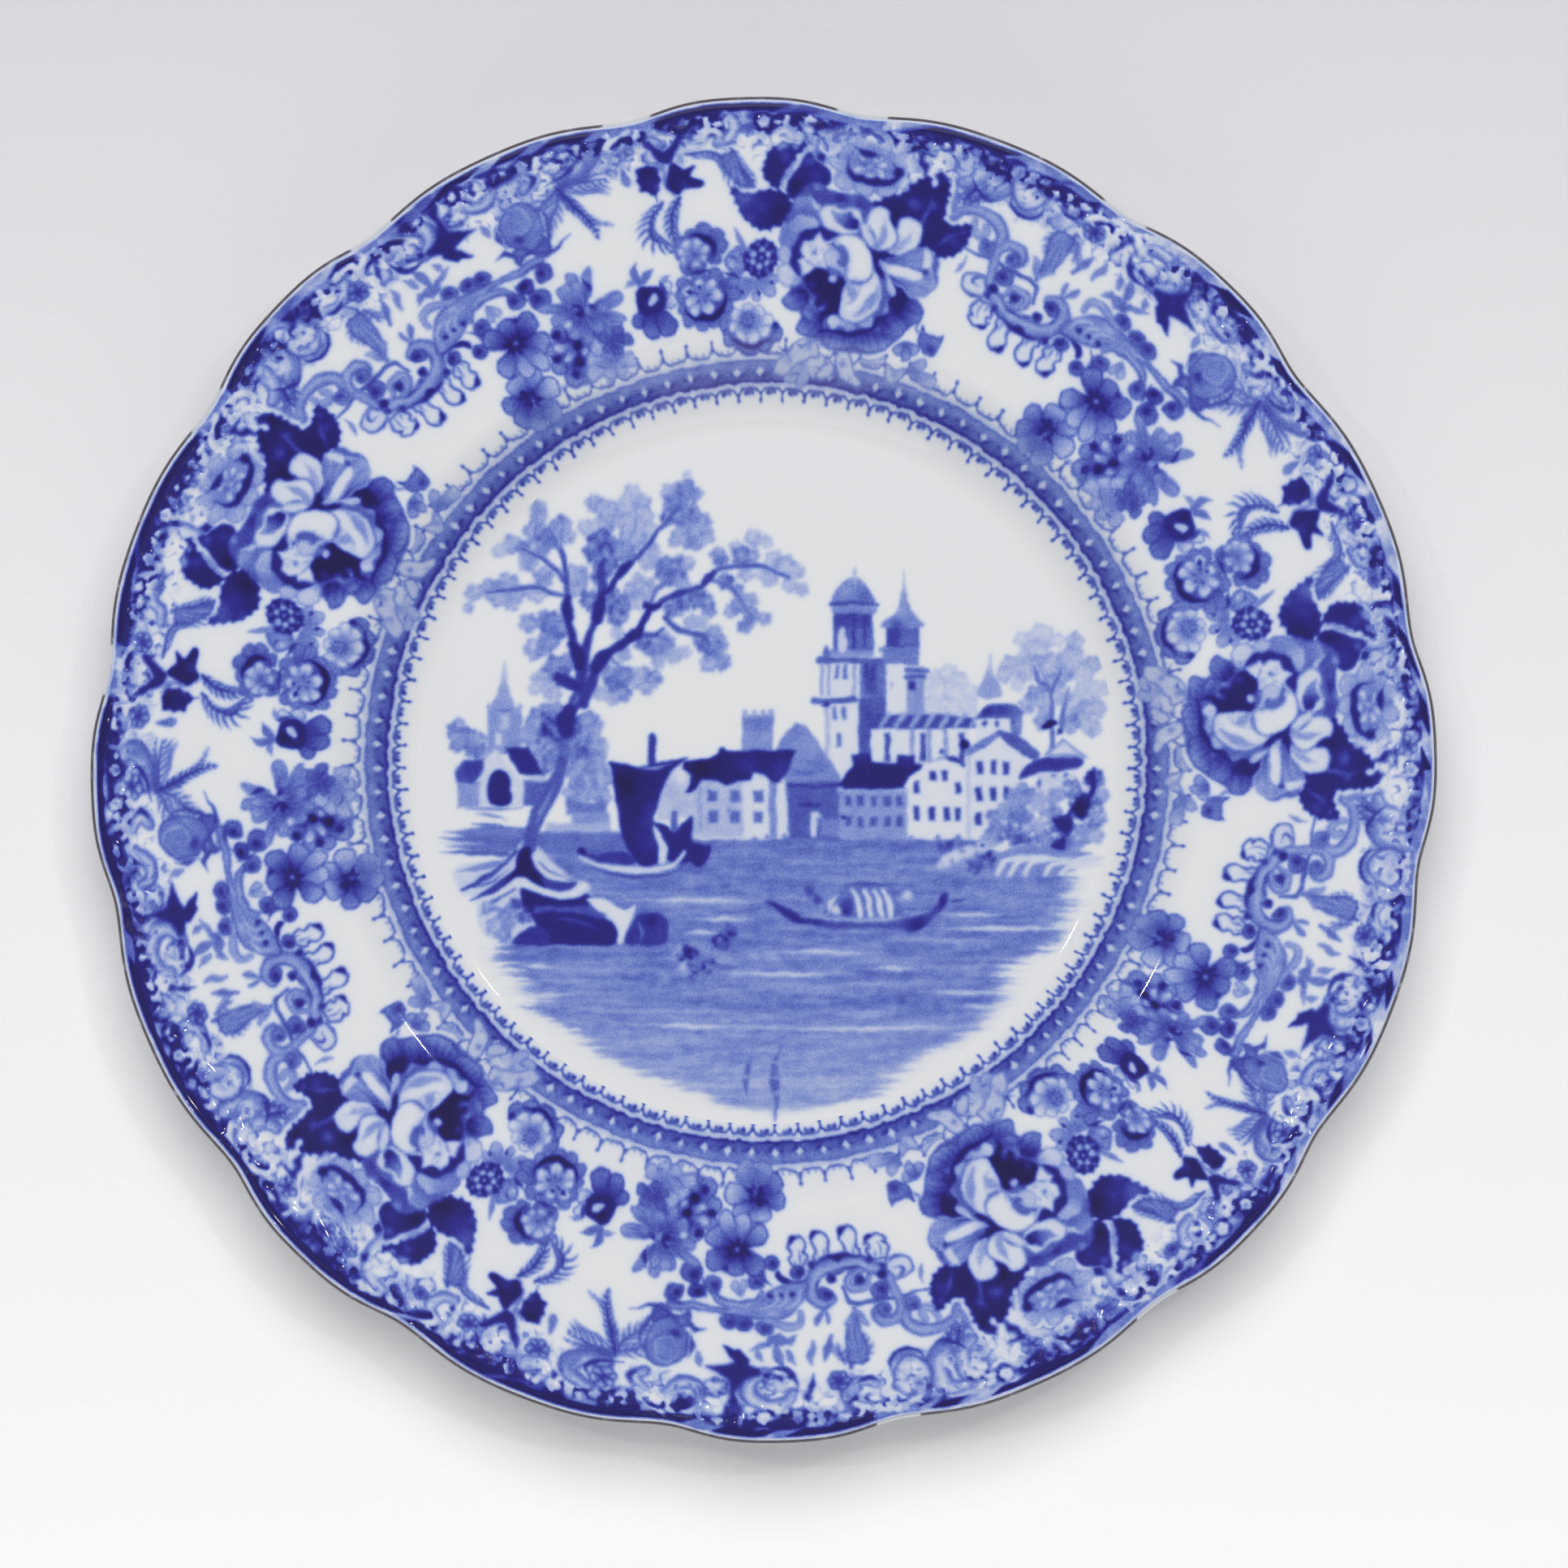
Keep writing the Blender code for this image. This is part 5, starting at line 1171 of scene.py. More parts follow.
def inkWater(s):
    # level strokes inside a ragged oval, thinner towards the front
    x, y = s.x, s.y
    ragged = 2.6 * grain(y * 3, y, 1.5, 81) + 1.6 * grain(y * 3, y, .6, 82)
    left = np.interp(y, (-68, -65, -58, -55, -51, -47.5, -43, -39, -35, -30, -13),
        (-2, -12.6, -31, -36, -41, -47.4, -50.5, -53, -54.5, -55, -48))
    right = np.interp(y, (-68.5, -63, -58, -55, -51, -46.4, -40, -38, -35.5, -31, -21, -13),
        (5, 26, 31, 37, 45, 49.7, 51, 52.5, 59.6, 63, 64.8, 44))
    streak = 0.55 * grain(x / 9, y, .75, 83) + 0.35 * grain(x / 4, y, .45, 84) + .3 * grain(x / 22, y, 1.6,
        85)
    depth = np.interp(y, (-68, -62, -56, -50, -40, -30, -22, -13), (.32, .37, .44, .5, .53, .53, .53, .56))
    tone = depth + .17 * streak
    side = ease((x - left - ragged) / 7) * ease((right + ragged - x) / 8)
    cover = side * ease((-13.2 - y) / .6) * ease((y + 68) / 3)
    fine = ease((side - .35 + .3 * streak) / .4)
    s.ink += (np.clip(tone, .2, .8) - s.ink) * cover * (.35 + .65 * fine)
    s.lines(.55, .14, [(-27, -25.2), (-14, -25.4), (.4, -25.6)], [(30.6, -30.9), (46, -30.9), (63, -31)],
        [(34, -27.9), (42, -28.2), (47, -28)], [(-14, -29), (-2, -29.2)], [(-16, -31.6), (-8, -31.8)],
        [(0, -35.4), (10, -35.4), (23, -35.6)], [(-51, -43.6), (-44, -44), (-36, -43.8)],
        [(-4, -50.2), (16, -50.4), (45, -50)], [(-10, -39.4), (6, -39.8), (18, -39.6)],
        [(30, -43.2), (40, -43.4), (49, -43.2)], [(-26, -49.6), (-12, -50), (-2, -49.8)],
        [(36, -46), (44, -46.2), (50, -46)], [(20, -38.6), (30, -38.8)], [(-48, -38), (-40, -38.3)],
        darken=False, tips=(0, 0), soft=.35)
    s.lines(.5, .36, [(-40, -46.8), (-20, -47), (0, -46.8)], [(12, -41.6), (30, -41.8)],
        [(-34, -53), (-12, -53.2)], [(8, -53.2), (30, -53)], [(-24, -36.8), (-4, -37)],
        [(4, -57.4), (24, -57.6)], [(-28, -57), (-8, -57.2)], [(24, -33), (48, -33.2)],
        [(-46, -41), (-30, -41.2)], [(10, -47.2), (28, -47.4)], darken=False, tips=(0, 0), soft=.35)
    # broken dark marks and the two long reflections
    s.clumps((-14.6, -36.4, 2.2, .72), (-8.4, -33.6, 1.7, .74), (-10.8, -38, 1.6, .7),
        (-17.4, -34.8, 1.5, .42), (-13, -40.2, 1.4, .66), (-19.6, -40.6, 1.6, .45), (-6.4, -31.4, 1.2, .66),
        (-16, -38.4, 1, .3), (-9.4, -35.6, .9, .4), (-5.8, -35.8, .8, .5))
    s.line([(-2.4, -55.6), (-3.2, -58.6), (-3.6, -62.8), (-2.8, -64)], 1.3, .66, soft=.4)
    s.line([(3.4, -53.6), (2.2, -57), (2, -61), (2.6, -65), (2, -68)], 1.9, .66, soft=.45)
    s.lines(.4, .4, [(1, -57), (4, -57.1)], [(1, -60), (4, -60.2)], [(1, -63), (4.4, -63)],
        [(-5, -59.6), (-2, -59.7)], darken=False, soft=.3)


def inkShore(s):
    # church, bushes and far shore on the left
    s.clumps((-36, 0, 3, .4), (-33, 1, 2.5, .4), (-34, -3, 3, .42), (-31.4, -1.4, 2, .38),
        (-37, -4.4, 2.2, .42), (-31.6, -5, 1.8, .4), (-33, 4, 2.4, .38))
    s.block(-38.4, -8.6, -30.6, -6.2, .58, .5)
    s.block(-37.6, -10.6, -30.2, -8.4, .46, .5)
    s.block(-42.6, -12, -30, -10.4, .3, .5)
    s.block(-47.6, -16.4, -26, -12, .62, .5)
    s.clumps((-60, 7.6, 1.9, .46), (-58, 6.4, 2.1, .52), (-56.6, 4.2, 2.1, .48), (-59.8, 5, 1.5, .4),
        (-55.4, 6, 1.5, .42), (-59.4, 9, 1.3, .4), (-55, 3, 1.6, .44))
    s.block(-53.8, 3, -47.2, 12.2, .44)
    s.block(-51.4, 7.8, -49.6, 11, .26, .4)
    s.block(-52.4, 4.8, -51.2, 7, .12, .4)
    s.shape([(-50.7, 21.4), (-49.6, 15), (-48.6, 12), (-53, 12), (-51.9, 15)], .4,
        marks=[(-50.7, 19.6, 2, .2)])
    s.lines(1.1, .34, [(-53.4, 11.6), (-53.5, 13)], [(-47.5, 11.6), (-47.4, 13)])
    s.line([(-53.4, 12), (-50.6, 11.6), (-47.4, 11.9)], .6, .62)
    s.clumps((-43, 10, 2.9, .52), (-45, 8.4, 2, .44), (-41, 9.6, 2.6, .7), (-42, 6.4, 2.7, .62),
        (-36, 8, 3, .62), (-34.2, 5.8, 2.8, .5), (-36.8, 4.2, 2.6, .56), (-33.2, 8.6, 2, .4),
        (-32, 4.8, 1.6, .36), (-34, 10, 1.7, .4), (-40.4, 11.8, 1.7, .45), (-44.4, 4, 2.1, .42),
        (-46, 6.4, 1.6, .36), (-43, 1.4, 2.5, .46), (-41.4, 3.4, 2.1, .5), (-41.6, 8, 1.5, .78))
    s.shape([(-60.4, 1.2), (-57, 2), (-54.8, 1.4), (-52.4, 4.2), (-48.6, 0), (-47, -2), (-46.6, -7.2),
        (-59.8, -7.2), (-59.8, -2.4)], .12, sharp=True)
    s.block(-59.8, -7.2, -55.4, -2.2, .44, .4)
    s.shape([(-60.2, -.4), (-58.8, 1.8), (-54.6, 1.8), (-54.8, 0), (-56.4, -2.4), (-60, -2.4)], .76,
        sharp=True, marks=[(-56.6, .4, 1.6, .84)])
    s.shape([(-50.6, 4.4), (-45.8, 4.4), (-44.4, 1.8), (-42.8, -1), (-47.4, -1), (-49, 1.8)], .9,
        sharp=True)
    s.block(-46.8, -7, -41.6, -2, .68, .35)
    s.line([(-46.6, -1.6), (-43.8, -1.8), (-41.6, -2.2)], .7, .22, darken=False)
    s.shape([(-53.3, -1), (-52.4, 0), (-50.8, 0), (-49.6, -1.6), (-49.2, -6.4), (-53.2, -6.6),
        (-53.8, -3.4)], .93)
    s.lines(.5, .5, [(-59.6, -7.4), (-54, -7.6), (-47, -7.4)], [(-56.4, -8.4), (-52, -9), (-49.8, -9.8)])
    s.line([(-57, -10.4), (-53, -11), (-49, -11.6)], 1.1, .62)
    for points, width, tone in (([(-62.6, -12), (-56, -12.2), (-47, -12)], 1.8, .56),
            ([(-63.4, -13.2), (-56, -13.6), (-47, -13.6)], 1.8, .62), ([(-62, -15), (-55, -15), (-48, -15)],
            1.6, .6), ([(-63, -16), (-56, -16.2), (-50, -16.4)], .8, .7)):
        s.line(points, width, tone, tips=(.1, 1))
    s.line([(-63.4, -14.2), (-58, -14.3), (-55, -14.2)], .35, .2, darken=False)


def inkBank(s):
    # roots, bank and rocks under the tree
    s.shape([(-60.6, -19.4), (-57, -18), (-50, -17.4), (-47, -14), (-44, -15), (-38, -20.6), (-34, -22.4),
        (-34.4, -27), (-28, -27), (-27, -30), (-29, -34), (-44, -34.2), (-49, -33.4), (-54, -32.4),
        (-56, -29), (-56.4, -25), (-59, -24)], .14, soft=.5)
    s.lines(1.1, .5, [(-60, -19.8), (-55, -18.9), (-50, -17.6)], [(-55.6, -28.4), (-53, -27), (-50, -27.4)],
        tips=(.2, .6))
    s.lines(1.9, .8, [(-59, -23.2), (-55, -21.8), (-51, -19.2), (-48.4, -16)], tips=(.3, .5))
    s.lines(1.5, .84, [(-57.2, -25.4), (-53.6, -23.6), (-50.2, -21.4), (-48, -19)], tips=(.2, .6))
    s.lines(.9, .7, [(-54.8, -27), (-51.4, -24.6), (-48.6, -23)], [(-44, -18), (-41, -20.4),
        (-37.4, -21.2)], tips=(.3, .6))
    s.line([(-56, -22.8), (-52, -20.4), (-49, -17.6), (-46.8, -14.6)], .55, .16, darken=False, soft=.3)
    s.shape([(-47.8, -16), (-45.8, -14.6), (-44.8, -18.6), (-42.4, -21), (-38.8, -22.2), (-42.6, -23),
        (-46, -21.4), (-48.2, -20.8), (-50.4, -22.2), (-48.8, -19)], .98)
    s.line([(-44.6, -17.6), (-42.8, -19.8), (-40, -21), (-37, -20.8)], .8, .12, darken=False, soft=.3)
    s.shape([(-43.4, -21), (-39, -21.8), (-36.4, -21.8), (-37.6, -23.4), (-41.4, -23.6)], .82)
    s.line([(-56, -26), (-52, -24.4), (-49, -22.4), (-47.2, -21.6), (-44.4, -23.2), (-40, -24.3),
        (-36.6, -23.8), (-35, -22.6)], 1.0, .08, darken=False, soft=.35, tips=(.4, .8))
    s.shape([(-47.6, -23), (-45, -23.6), (-41, -25), (-36.6, -24.9), (-34.3, -24.2), (-34.2, -26.6),
        (-38, -27), (-44, -26.6), (-44.4, -28.6), (-47, -27)], .95)
    s.clumps((-50, -28.6, 2, .5), (-52.4, -30.4, 1.8, .3), (-46.6, -28.4, 1.5, .6), (-50.6, -32, 1.6, .42),
        (-48.6, -26.2, 1.3, .62), (-54, -26.8, 1.2, .4))
    s.block(-44.6, -30, -31, -26.4, .74, .5)
    s.shape([(-45, -28), (-40, -27.6), (-35, -28.2), (-30.6, -29.2), (-28.7, -30.6), (-28.6, -34),
        (-38, -34.2), (-44.4, -34), (-44.2, -31)], .93)
    s.shape([(-48.8, -34), (-47.4, -31.6), (-45.4, -30.6), (-42.6, -30.8), (-41.6, -34), (-45, -34.2)], .86)
    s.shape([(-34.6, -25.4), (-31, -25.2), (-27.6, -27.2), (-25.2, -26.4), (-25.8, -29), (-27.6, -33.8),
        (-28.7, -33.4), (-28.6, -30), (-31, -28)], .06)
    s.shape([(-27.2, -33.8), (-25.8, -30.4), (-24.2, -28), (-20, -27.9), (-18.6, -30.2), (-19.6, -34),
        (-23, -34.2)], .84, marks=[(-22, -29, 1.5, .93)])
    s.line([(-24.6, -29.4), (-23.6, -31.6), (-24.2, -33.6)], .4, .6, darken=False)
    s.line([(-40, -29), (-36, -29.6), (-32.6, -30.8)], .4, .76, darken=False)


def inkBoats(s):
    # the sailing boat
    s.line([(-21.8, 1), (-21.8, 6.6)], 1.3, .84, tips=(1, .9))
    s.shape([(-30.2, 1.5), (-27.4, 1.3), (-24.8, .6), (-22, 1.2), (-18.6, 1.9), (-14.8, 2.4), (-16.4, 1.1),
        (-18.2, -.8), (-19.8, -3.6), (-21, -8), (-21.5, -11), (-20.8, -14), (-20.4, -17.8), (-22.4, -18.7),
        (-24.4, -18.4), (-26.2, -16), (-27.8, -12.6), (-28.7, -8), (-29.4, -3), (-29.6, 0)], .93,
        marks=[(-27, -3, 3, 1), (-22.4, -9, 2.4, .82), (-22, -14, 2, .86), (-25, -8, 2, .96)])
    s.lines(.45, .4, [(-24.4, .3), (-21, .5), (-18, 1.2)], darken=False, soft=.25)
    s.shape([(-21.9, -9.9), (-19.4, -10.6), (-17.4, -12), (-15.6, -10), (-14, -9), (-14, -13.8),
        (-12, -14.2), (-10.2, -15.2), (-11.4, -18), (-12.6, -19), (-14.4, -17.8), (-16.2, -18.2),
        (-18.6, -17.6), (-19, -15), (-20.4, -12)], .92)
    s.line([(-17.4, -8.4), (-17.4, -12)], 1.3, .66, tips=(.8, 1))
    s.shape([(-21.4, -11.6), (-19.8, -13), (-18.9, -16), (-19.1, -18), (-20.5, -18.3), (-20.7, -15)], .1,
        soft=.2)
    s.shape([(-36.4, -15.6), (-33, -16.4), (-30, -16), (-27, -16), (-24.8, -18.3), (-29, -18.4),
        (-33.4, -17.6)], .84)
    s.dots((-35.6, -15.9, .95, .95), soft=.4)
    s.line([(-35, -17.6), (-31.6, -19.8), (-25, -20.7), (-19, -20.4), (-15.4, -18.4)], 1, .76,
        tips=(.3, .4))
    s.line([(-36, -16.8), (-33.4, -18.3), (-29, -19.2), (-24, -19.6), (-20, -19.3), (-17.2, -17.9),
        (-15.6, -15.8)], .95, .1, darken=False, soft=.3, tips=(.4, .5))
    # the covered boat
    s.shape([(.2, -25.6), (4, -26.6), (7.4, -28.6), (10, -29.8), (6.6, -29.9), (4, -28.6), (1.6, -26.8)],
        .9)
    s.shape([(7, -27.6), (10, -29), (15, -29.5), (22, -29.4), (29, -28.9), (33, -27), (34.6, -24.4),
        (35.8, -23.6), (36, -25.4), (33.4, -28.4), (29.6, -31.4), (25, -30.9), (14, -31), (9.6, -30.2)],
        .74, marks=[(30, -30.2, 2.2, .93), (34.6, -25.4, 1.6, .93), (10, -29.4, 1.6, .9)])
    s.line([(7.4, -28.2), (14, -29.2), (24, -29.1), (31.6, -27.6)], .5, .3, darken=False, soft=.25)
    s.line([(36, -25.6), (38, -25.4), (40, -24.9)], .7, .8)
    s.shape([(12.4, -28.6), (12.8, -25.6), (14.4, -23.6), (17, -22.8), (21, -22.8), (24.4, -23.6),
        (26, -25.4), (26.2, -28.4)], .62)
    for x, lean in ((18.2, .4), (20.3, .5), (22.3, .6), (24.2, .6)):
        s.line([(x - .9, -23.4), (x + lean * .3, -25.4), (x + lean, -28.2)], .85, .1, darken=False,
            soft=.25, tips=(.7, 1))
    s.line([(12.6, -28), (13, -25.8), (14.4, -24.4)], .8, .14, darken=False, soft=.3)
    s.dots((14.2, -27.2, 1.1, .12), (16, -26.4, 1.5, .78), (16, -27.6, .9, .86), (28, -24.4, .9, .2),
        (9, -23.6, .9, .76), (10.4, -25.2, .8, .8))
    s.lines(.5, .82, [(8.4, -22.8), (10.4, -24.6), (12.2, -26.6)], [(12.6, -24.8), (14.6, -22.8),
        (18, -22.1), (23, -22.3), (26.4, -24.4)])


def inkTree(s):
    s.clumps((-44, 51, 1.7, .36), (-44, 49, 1.6, .36), (-44.6, 46.4, 2.3, .38), (-42, 45, 2.1, .52),
        (-39.6, 47.6, 2.2, .4), (-38.4, 45.4, 1.7, .38), (-49.2, 44, 1.9, .35), (-51.6, 42.8, 1.4, .25),
        (-46.8, 43.2, 1.6, .5), (-46, 40.4, 1.9, .36), (-43.6, 42.6, 1.6, .44), (-56.6, 34.6, 1.7, .32),
        (-57.6, 31.8, 1.1, .3), (-53.2, 35.4, 2, .42), (-50, 36.2, 2.3, .4), (-49, 32.8, 1.7, .35),
        (-47.8, 34.6, 1.5, .4), (-52, 33.2, 1.4, .34), (-43, 37.6, 1.9, .4), (-44.2, 34.6, 2, .3),
        (-36.4, 37.8, 2.4, .37), (-36.2, 35.4, 1.7, .36), (-46, 28.6, 1.9, .37), (-42.2, 29, 2.3, .56),
        (-41.4, 26.6, 2.5, .5), (-44.6, 23.6, 2.1, .34), (-42, 24.8, 1.9, .44), (-39.8, 28.4, 1.8, .52),
        (-40.6, 20, 2.5, .52), (-38.6, 21.2, 1.7, .5), (-43.8, 17.6, 1.7, .32), (-41.4, 15.6, 2.1, .28),
        (-44.8, 15.8, 1.1, .25), (-39.4, 18.2, 1.8, .62))
    s.clumps((-33, 52, 1.9, .3), (-31, 51, 2.1, .36), (-29, 50.4, 2.1, .38), (-30, 48.8, 2.3, .34),
        (-34.8, 47.4, 1.5, .3), (-32.2, 47.2, 1.9, .28), (-25.6, 54, 1.7, .26), (-26.6, 51.8, 2.1, .28),
        (-23.8, 52, 1.9, .28), (-23.4, 49.6, 1.9, .26), (-25.6, 48.2, 1.9, .27), (-26.8, 46.2, 1.6, .32),
        (-22.6, 47, 1.7, .24), (-24.6, 44.8, 2.1, .32), (-22.4, 43, 1.9, .27), (-22.8, 40.6, 1.7, .28),
        (-21, 42.6, 1.2, .24), (-31.6, 44, 2.9, .64), (-33.2, 42.6, 2.1, .56), (-29.6, 42.8, 2.3, .62),
        (-31, 40.2, 2.5, .58), (-27.4, 43.2, 1.9, .42), (-32, 37.6, 1.7, .62), (-26.2, 41.6, 1.8, .44),
        (-34, 33.2, 2.1, .52), (-29, 32.8, 2.5, .56), (-28.6, 30, 2.1, .5), (-27.4, 32, 1.5, .5))
    s.clumps((-15, 57.2, 1, .24), (-18.4, 54.2, 1.7, .36), (-15.2, 54.4, 2.3, .44), (-13.2, 54, 1.3, .42),
        (-17.6, 52, 2.1, .48), (-15, 51.4, 2.1, .46), (-14.6, 48.6, 2.7, .46), (-11.8, 48.4, 1.7, .38),
        (-11.4, 45.8, 1.9, .34), (-13.8, 45, 2.3, .42), (-16.2, 45.6, 1.9, .38), (-17.4, 44.6, 1.2, .3),
        (-18.8, 49.2, 1.6, .52), (-25.6, 35, 1.7, .32), (-24, 33.8, 1.7, .33), (-22.6, 36.2, 1.6, .32),
        (-24.6, 37.4, 1.2, .28), (-24.6, 32.4, 1.3, .24), (-18.6, 38.6, 2.5, .58), (-16.4, 39.8, 2.1, .5),
        (-19.6, 40, 1.7, .44), (-14.6, 40.2, 1.3, .32), (-17, 37.4, 1.7, .6), (-15.6, 36.2, 1.5, .38),
        (-17.6, 31.8, 2.1, .56), (-14.8, 33.2, 2.1, .56), (-13, 34.4, 1.7, .56), (-11.4, 32.8, 1.7, .52),
        (-10.6, 31, 1.3, .54), (-14, 29, 1.5, .36), (-12.2, 28.8, 1.3, .3), (-9.6, 26.6, 1.7, .37),
        (-8.6, 24.6, 1.7, .38), (-11.6, 25, 2.1, .52), (-9.6, 23.2, 2.1, .52), (-8.2, 21.2, 1.9, .4),
        (-10.8, 20.8, 1.7, .34))
    s.clumps((-9, 42, 1.5, .4), (-8.2, 40.4, 1.5, .5), (-5.4, 43.4, 1.3, .28), (-4.2, 41.6, 2.1, .48),
        (-2.2, 41.8, 1.3, .42), (-2, 45.2, 1.7, .3), (.6, 44.6, 1.3, .22), (2, 41, 1.9, .26),
        (4.2, 39.8, 2.1, .3), (6.4, 38.8, 1.5, .24), (1, 37.6, 1.9, .27), (5, 36.2, 1.5, .27),
        (7.4, 35.2, 1.3, .3), (-.8, 38.2, 1.1, .22), (-3.6, 38.2, 1.5, .32), (-7.4, 36.8, 1.7, .56),
        (-4.6, 32.2, 1.9, .46), (-6.6, 31, 1.3, .34), (-2.6, 33, 1.5, .36), (-2.4, 30.2, 1.7, .44),
        (.2, 29.4, 1.3, .4), (-3.6, 28, 1.5, .46), (-5, 35, 1.3, .45), (-21, 23.6, 2.1, .44),
        (-23.6, 24.8, 1.7, .56), (-19, 25.2, 1.7, .42), (-17.8, 22.4, 1.7, .32), (-15.4, 23, 1.3, .24),
        (-20.6, 21, 1.3, .3), (-27.4, 22.6, 1.5, .32), (-28.6, 26.8, 1.3, .26), (-30.2, 18.8, 1.9, .48),
        (-27, 18.8, 1.7, .5), (-28.6, 16.6, 2.3, .52), (-27.4, 14.8, 1.7, .5), (-29.6, 14, 1.5, .32),
        (-23.6, 18.4, 1.9, .34), (-21.4, 17.8, 1.7, .44), (-22.8, 15.6, 1.1, .27), (-32, 15, 1.5, .27),
        (-25, 16.8, 1.2, .3))
    # trunk and limbs
    for width, tone, points in ((3.4, .78, [(-45.8, -15), (-44.6, -10), (-42.4, -6), (-40.4, -2),
            (-39.4, 2)]), (2.3, .7, [(-39.4, 1), (-38.8, 5), (-38.6, 8)]), (4.4, .98,
            [(-38.7, 7.6), (-38.6, 9.8), (-38, 11.6)]), (2.8, .86, [(-38, 10.8), (-36.8, 13.4),
            (-35.6, 16)]), (2.6, .95, [(-40, 18), (-38, 17), (-36, 15.8)]), (1.7, .88,
            [(-36, 15), (-35.8, 18), (-36, 21)]), (3.2, 1, [(-36, 20.4), (-36.4, 22.4), (-37.4, 24.6)]),
            (1.8, .97, [(-37, 24), (-37.8, 27.4), (-38, 30)]), (2.6, .98, [(-38.1, 29.6), (-38.6, 31.6),
            (-38.4, 33.6)]), (1.2, .84, [(-38.5, 33), (-38.4, 36.4), (-38.8, 39.6), (-39.4, 43)]),
            (1.7, .92, [(-35.4, 16), (-35, 20), (-34.8, 24), (-33.6, 27.6), (-32.6, 30)]),
            (2.8, .98, [(-32.6, 29.6), (-32.1, 31.6), (-31.6, 33.4)]), (1.9, .86, [(-31.8, 33),
            (-31.6, 35.4), (-31.8, 38), (-31.2, 41)]), (1.5, .95, [(-31.4, 34.4), (-29.8, 35.6),
            (-28.6, 38)]), (2.1, .96, [(-28.4, 38), (-27.4, 39.2), (-26, 40.4)]), (.95, .84,
            [(-26.2, 40.2), (-24, 42.2), (-22, 44.6), (-20.6, 47.2)]), (1.0, .74, [(-20.6, 47),
            (-18.6, 48.8), (-16.6, 51.2)]), (2.8, .9, [(-35.2, 13), (-34, 16.6), (-32.8, 19.6)]),
            (3.2, .97, [(-33, 19.6), (-31.9, 21.4), (-30.2, 22.8)]), (2.1, .95, [(-30.6, 22.6),
            (-28.2, 24.2), (-26, 25.8)]), (2.8, 1, [(-26.2, 25.8), (-25, 26.6), (-24.2, 27.4)]),
            (1.7, .98, [(-24.4, 27.2), (-23.2, 29.4), (-22.4, 31.2)]), (1.9, 1, [(-23, 32.2), (-22, 31.8),
            (-20.6, 32.2)]), (1.3, .88, [(-21.4, 32), (-18.8, 33.6), (-15.8, 34.6), (-12.6, 35.6),
            (-11, 36.8)]), (1.7, .93, [(-11.6, 36.6), (-10.6, 37.6), (-9.6, 38.4)]),
            (.85, .8, [(-10, 38.2), (-7.6, 39.5), (-4, 39.7), (0, 39.7), (2.6, 38.4), (5, 37.4)]),
            (.8, .7, [(-10.8, 37), (-8, 36.4), (-5.6, 34.8), (-4, 32.4), (-2.8, 30)]),
            (1.0, .82, [(-24.6, 26.4), (-21.8, 26.2), (-19.6, 27.6)]), (.7, .66, [(-22, 26.3), (-19, 25.6),
            (-17.4, 24.2)]), (1.1, .8, [(-19.2, 29.8), (-17.6, 28), (-14.8, 26.8), (-12, 26.2),
            (-10.6, 24.4)]), (.8, .66, [(-22.2, 32.4), (-21.2, 35), (-19, 36.6), (-18, 38.6)]),
            (.9, .74, [(-38.7, 34), (-41.4, 34.6), (-44, 35.6), (-48, 35.3), (-54, 34.4)]),
            (.9, .76, [(-38.6, 36.4), (-41, 39.4), (-43.6, 41.4), (-47.2, 43.2)]),
            (.7, .7, [(-39.3, 42), (-40.8, 45), (-42, 47.4)]), (.6, .55, [(-44, 42), (-44.6, 46),
            (-44.2, 50)]), (.6, .55, [(-39.4, 43), (-39.6, 46), (-39, 47.6)]), (.6, .6,
            [(-31.2, 40), (-29, 43), (-27.4, 46.6)]), (.6, .5, [(-26.6, 40.6), (-26.4, 44), (-25, 48),
            (-24.8, 52)]), (.7, .6, [(-38.4, 29), (-41, 29), (-43.6, 28)]), (.8, .6,
            [(-29.8, 21.8), (-28, 20), (-28, 17.4)]), (.5, .5, [(-4, 39.8), (-4.4, 41.6), (-4, 43)]),
            (.5, .45, [(-1.6, 39.8), (-1.4, 43)])):
        s.line(points, width * .86, tone * .93, soft=.3, tips=(.85, .7))
    s.lines(.6, .5, [(-44.6, -10.4), (-42.4, -6.4), (-40.8, -3)], darken=False, soft=.35)
    s.lines(.5, .6, [(-34.8, 17.6), (-33.8, 20)], [(-37.4, 12.6), (-36.2, 15)], darken=False, soft=.3)


picturePrint = {
    "reach": 70.0,
    "pitch": 0.25,
    "wobble": 0.2,
    "softness": (0.4, 0.6),
    "bleed": (1.6, 0.08),
}
print("inking the picture")
span = np.arange(-picturePrint["reach"], picturePrint["reach"] + 0.1, picturePrint["pitch"])
picture = Sheet(span, span, wobble=picturePrint["wobble"], seed=71)
for draw in (inkFarBank, inkCathedral, inkTown, inkWater, inkBushes, inkShore, inkBank, inkBoats, inkTree):
    draw(picture)
picture.soften(*picturePrint["softness"])
picture.bleed(*picturePrint["bleed"])

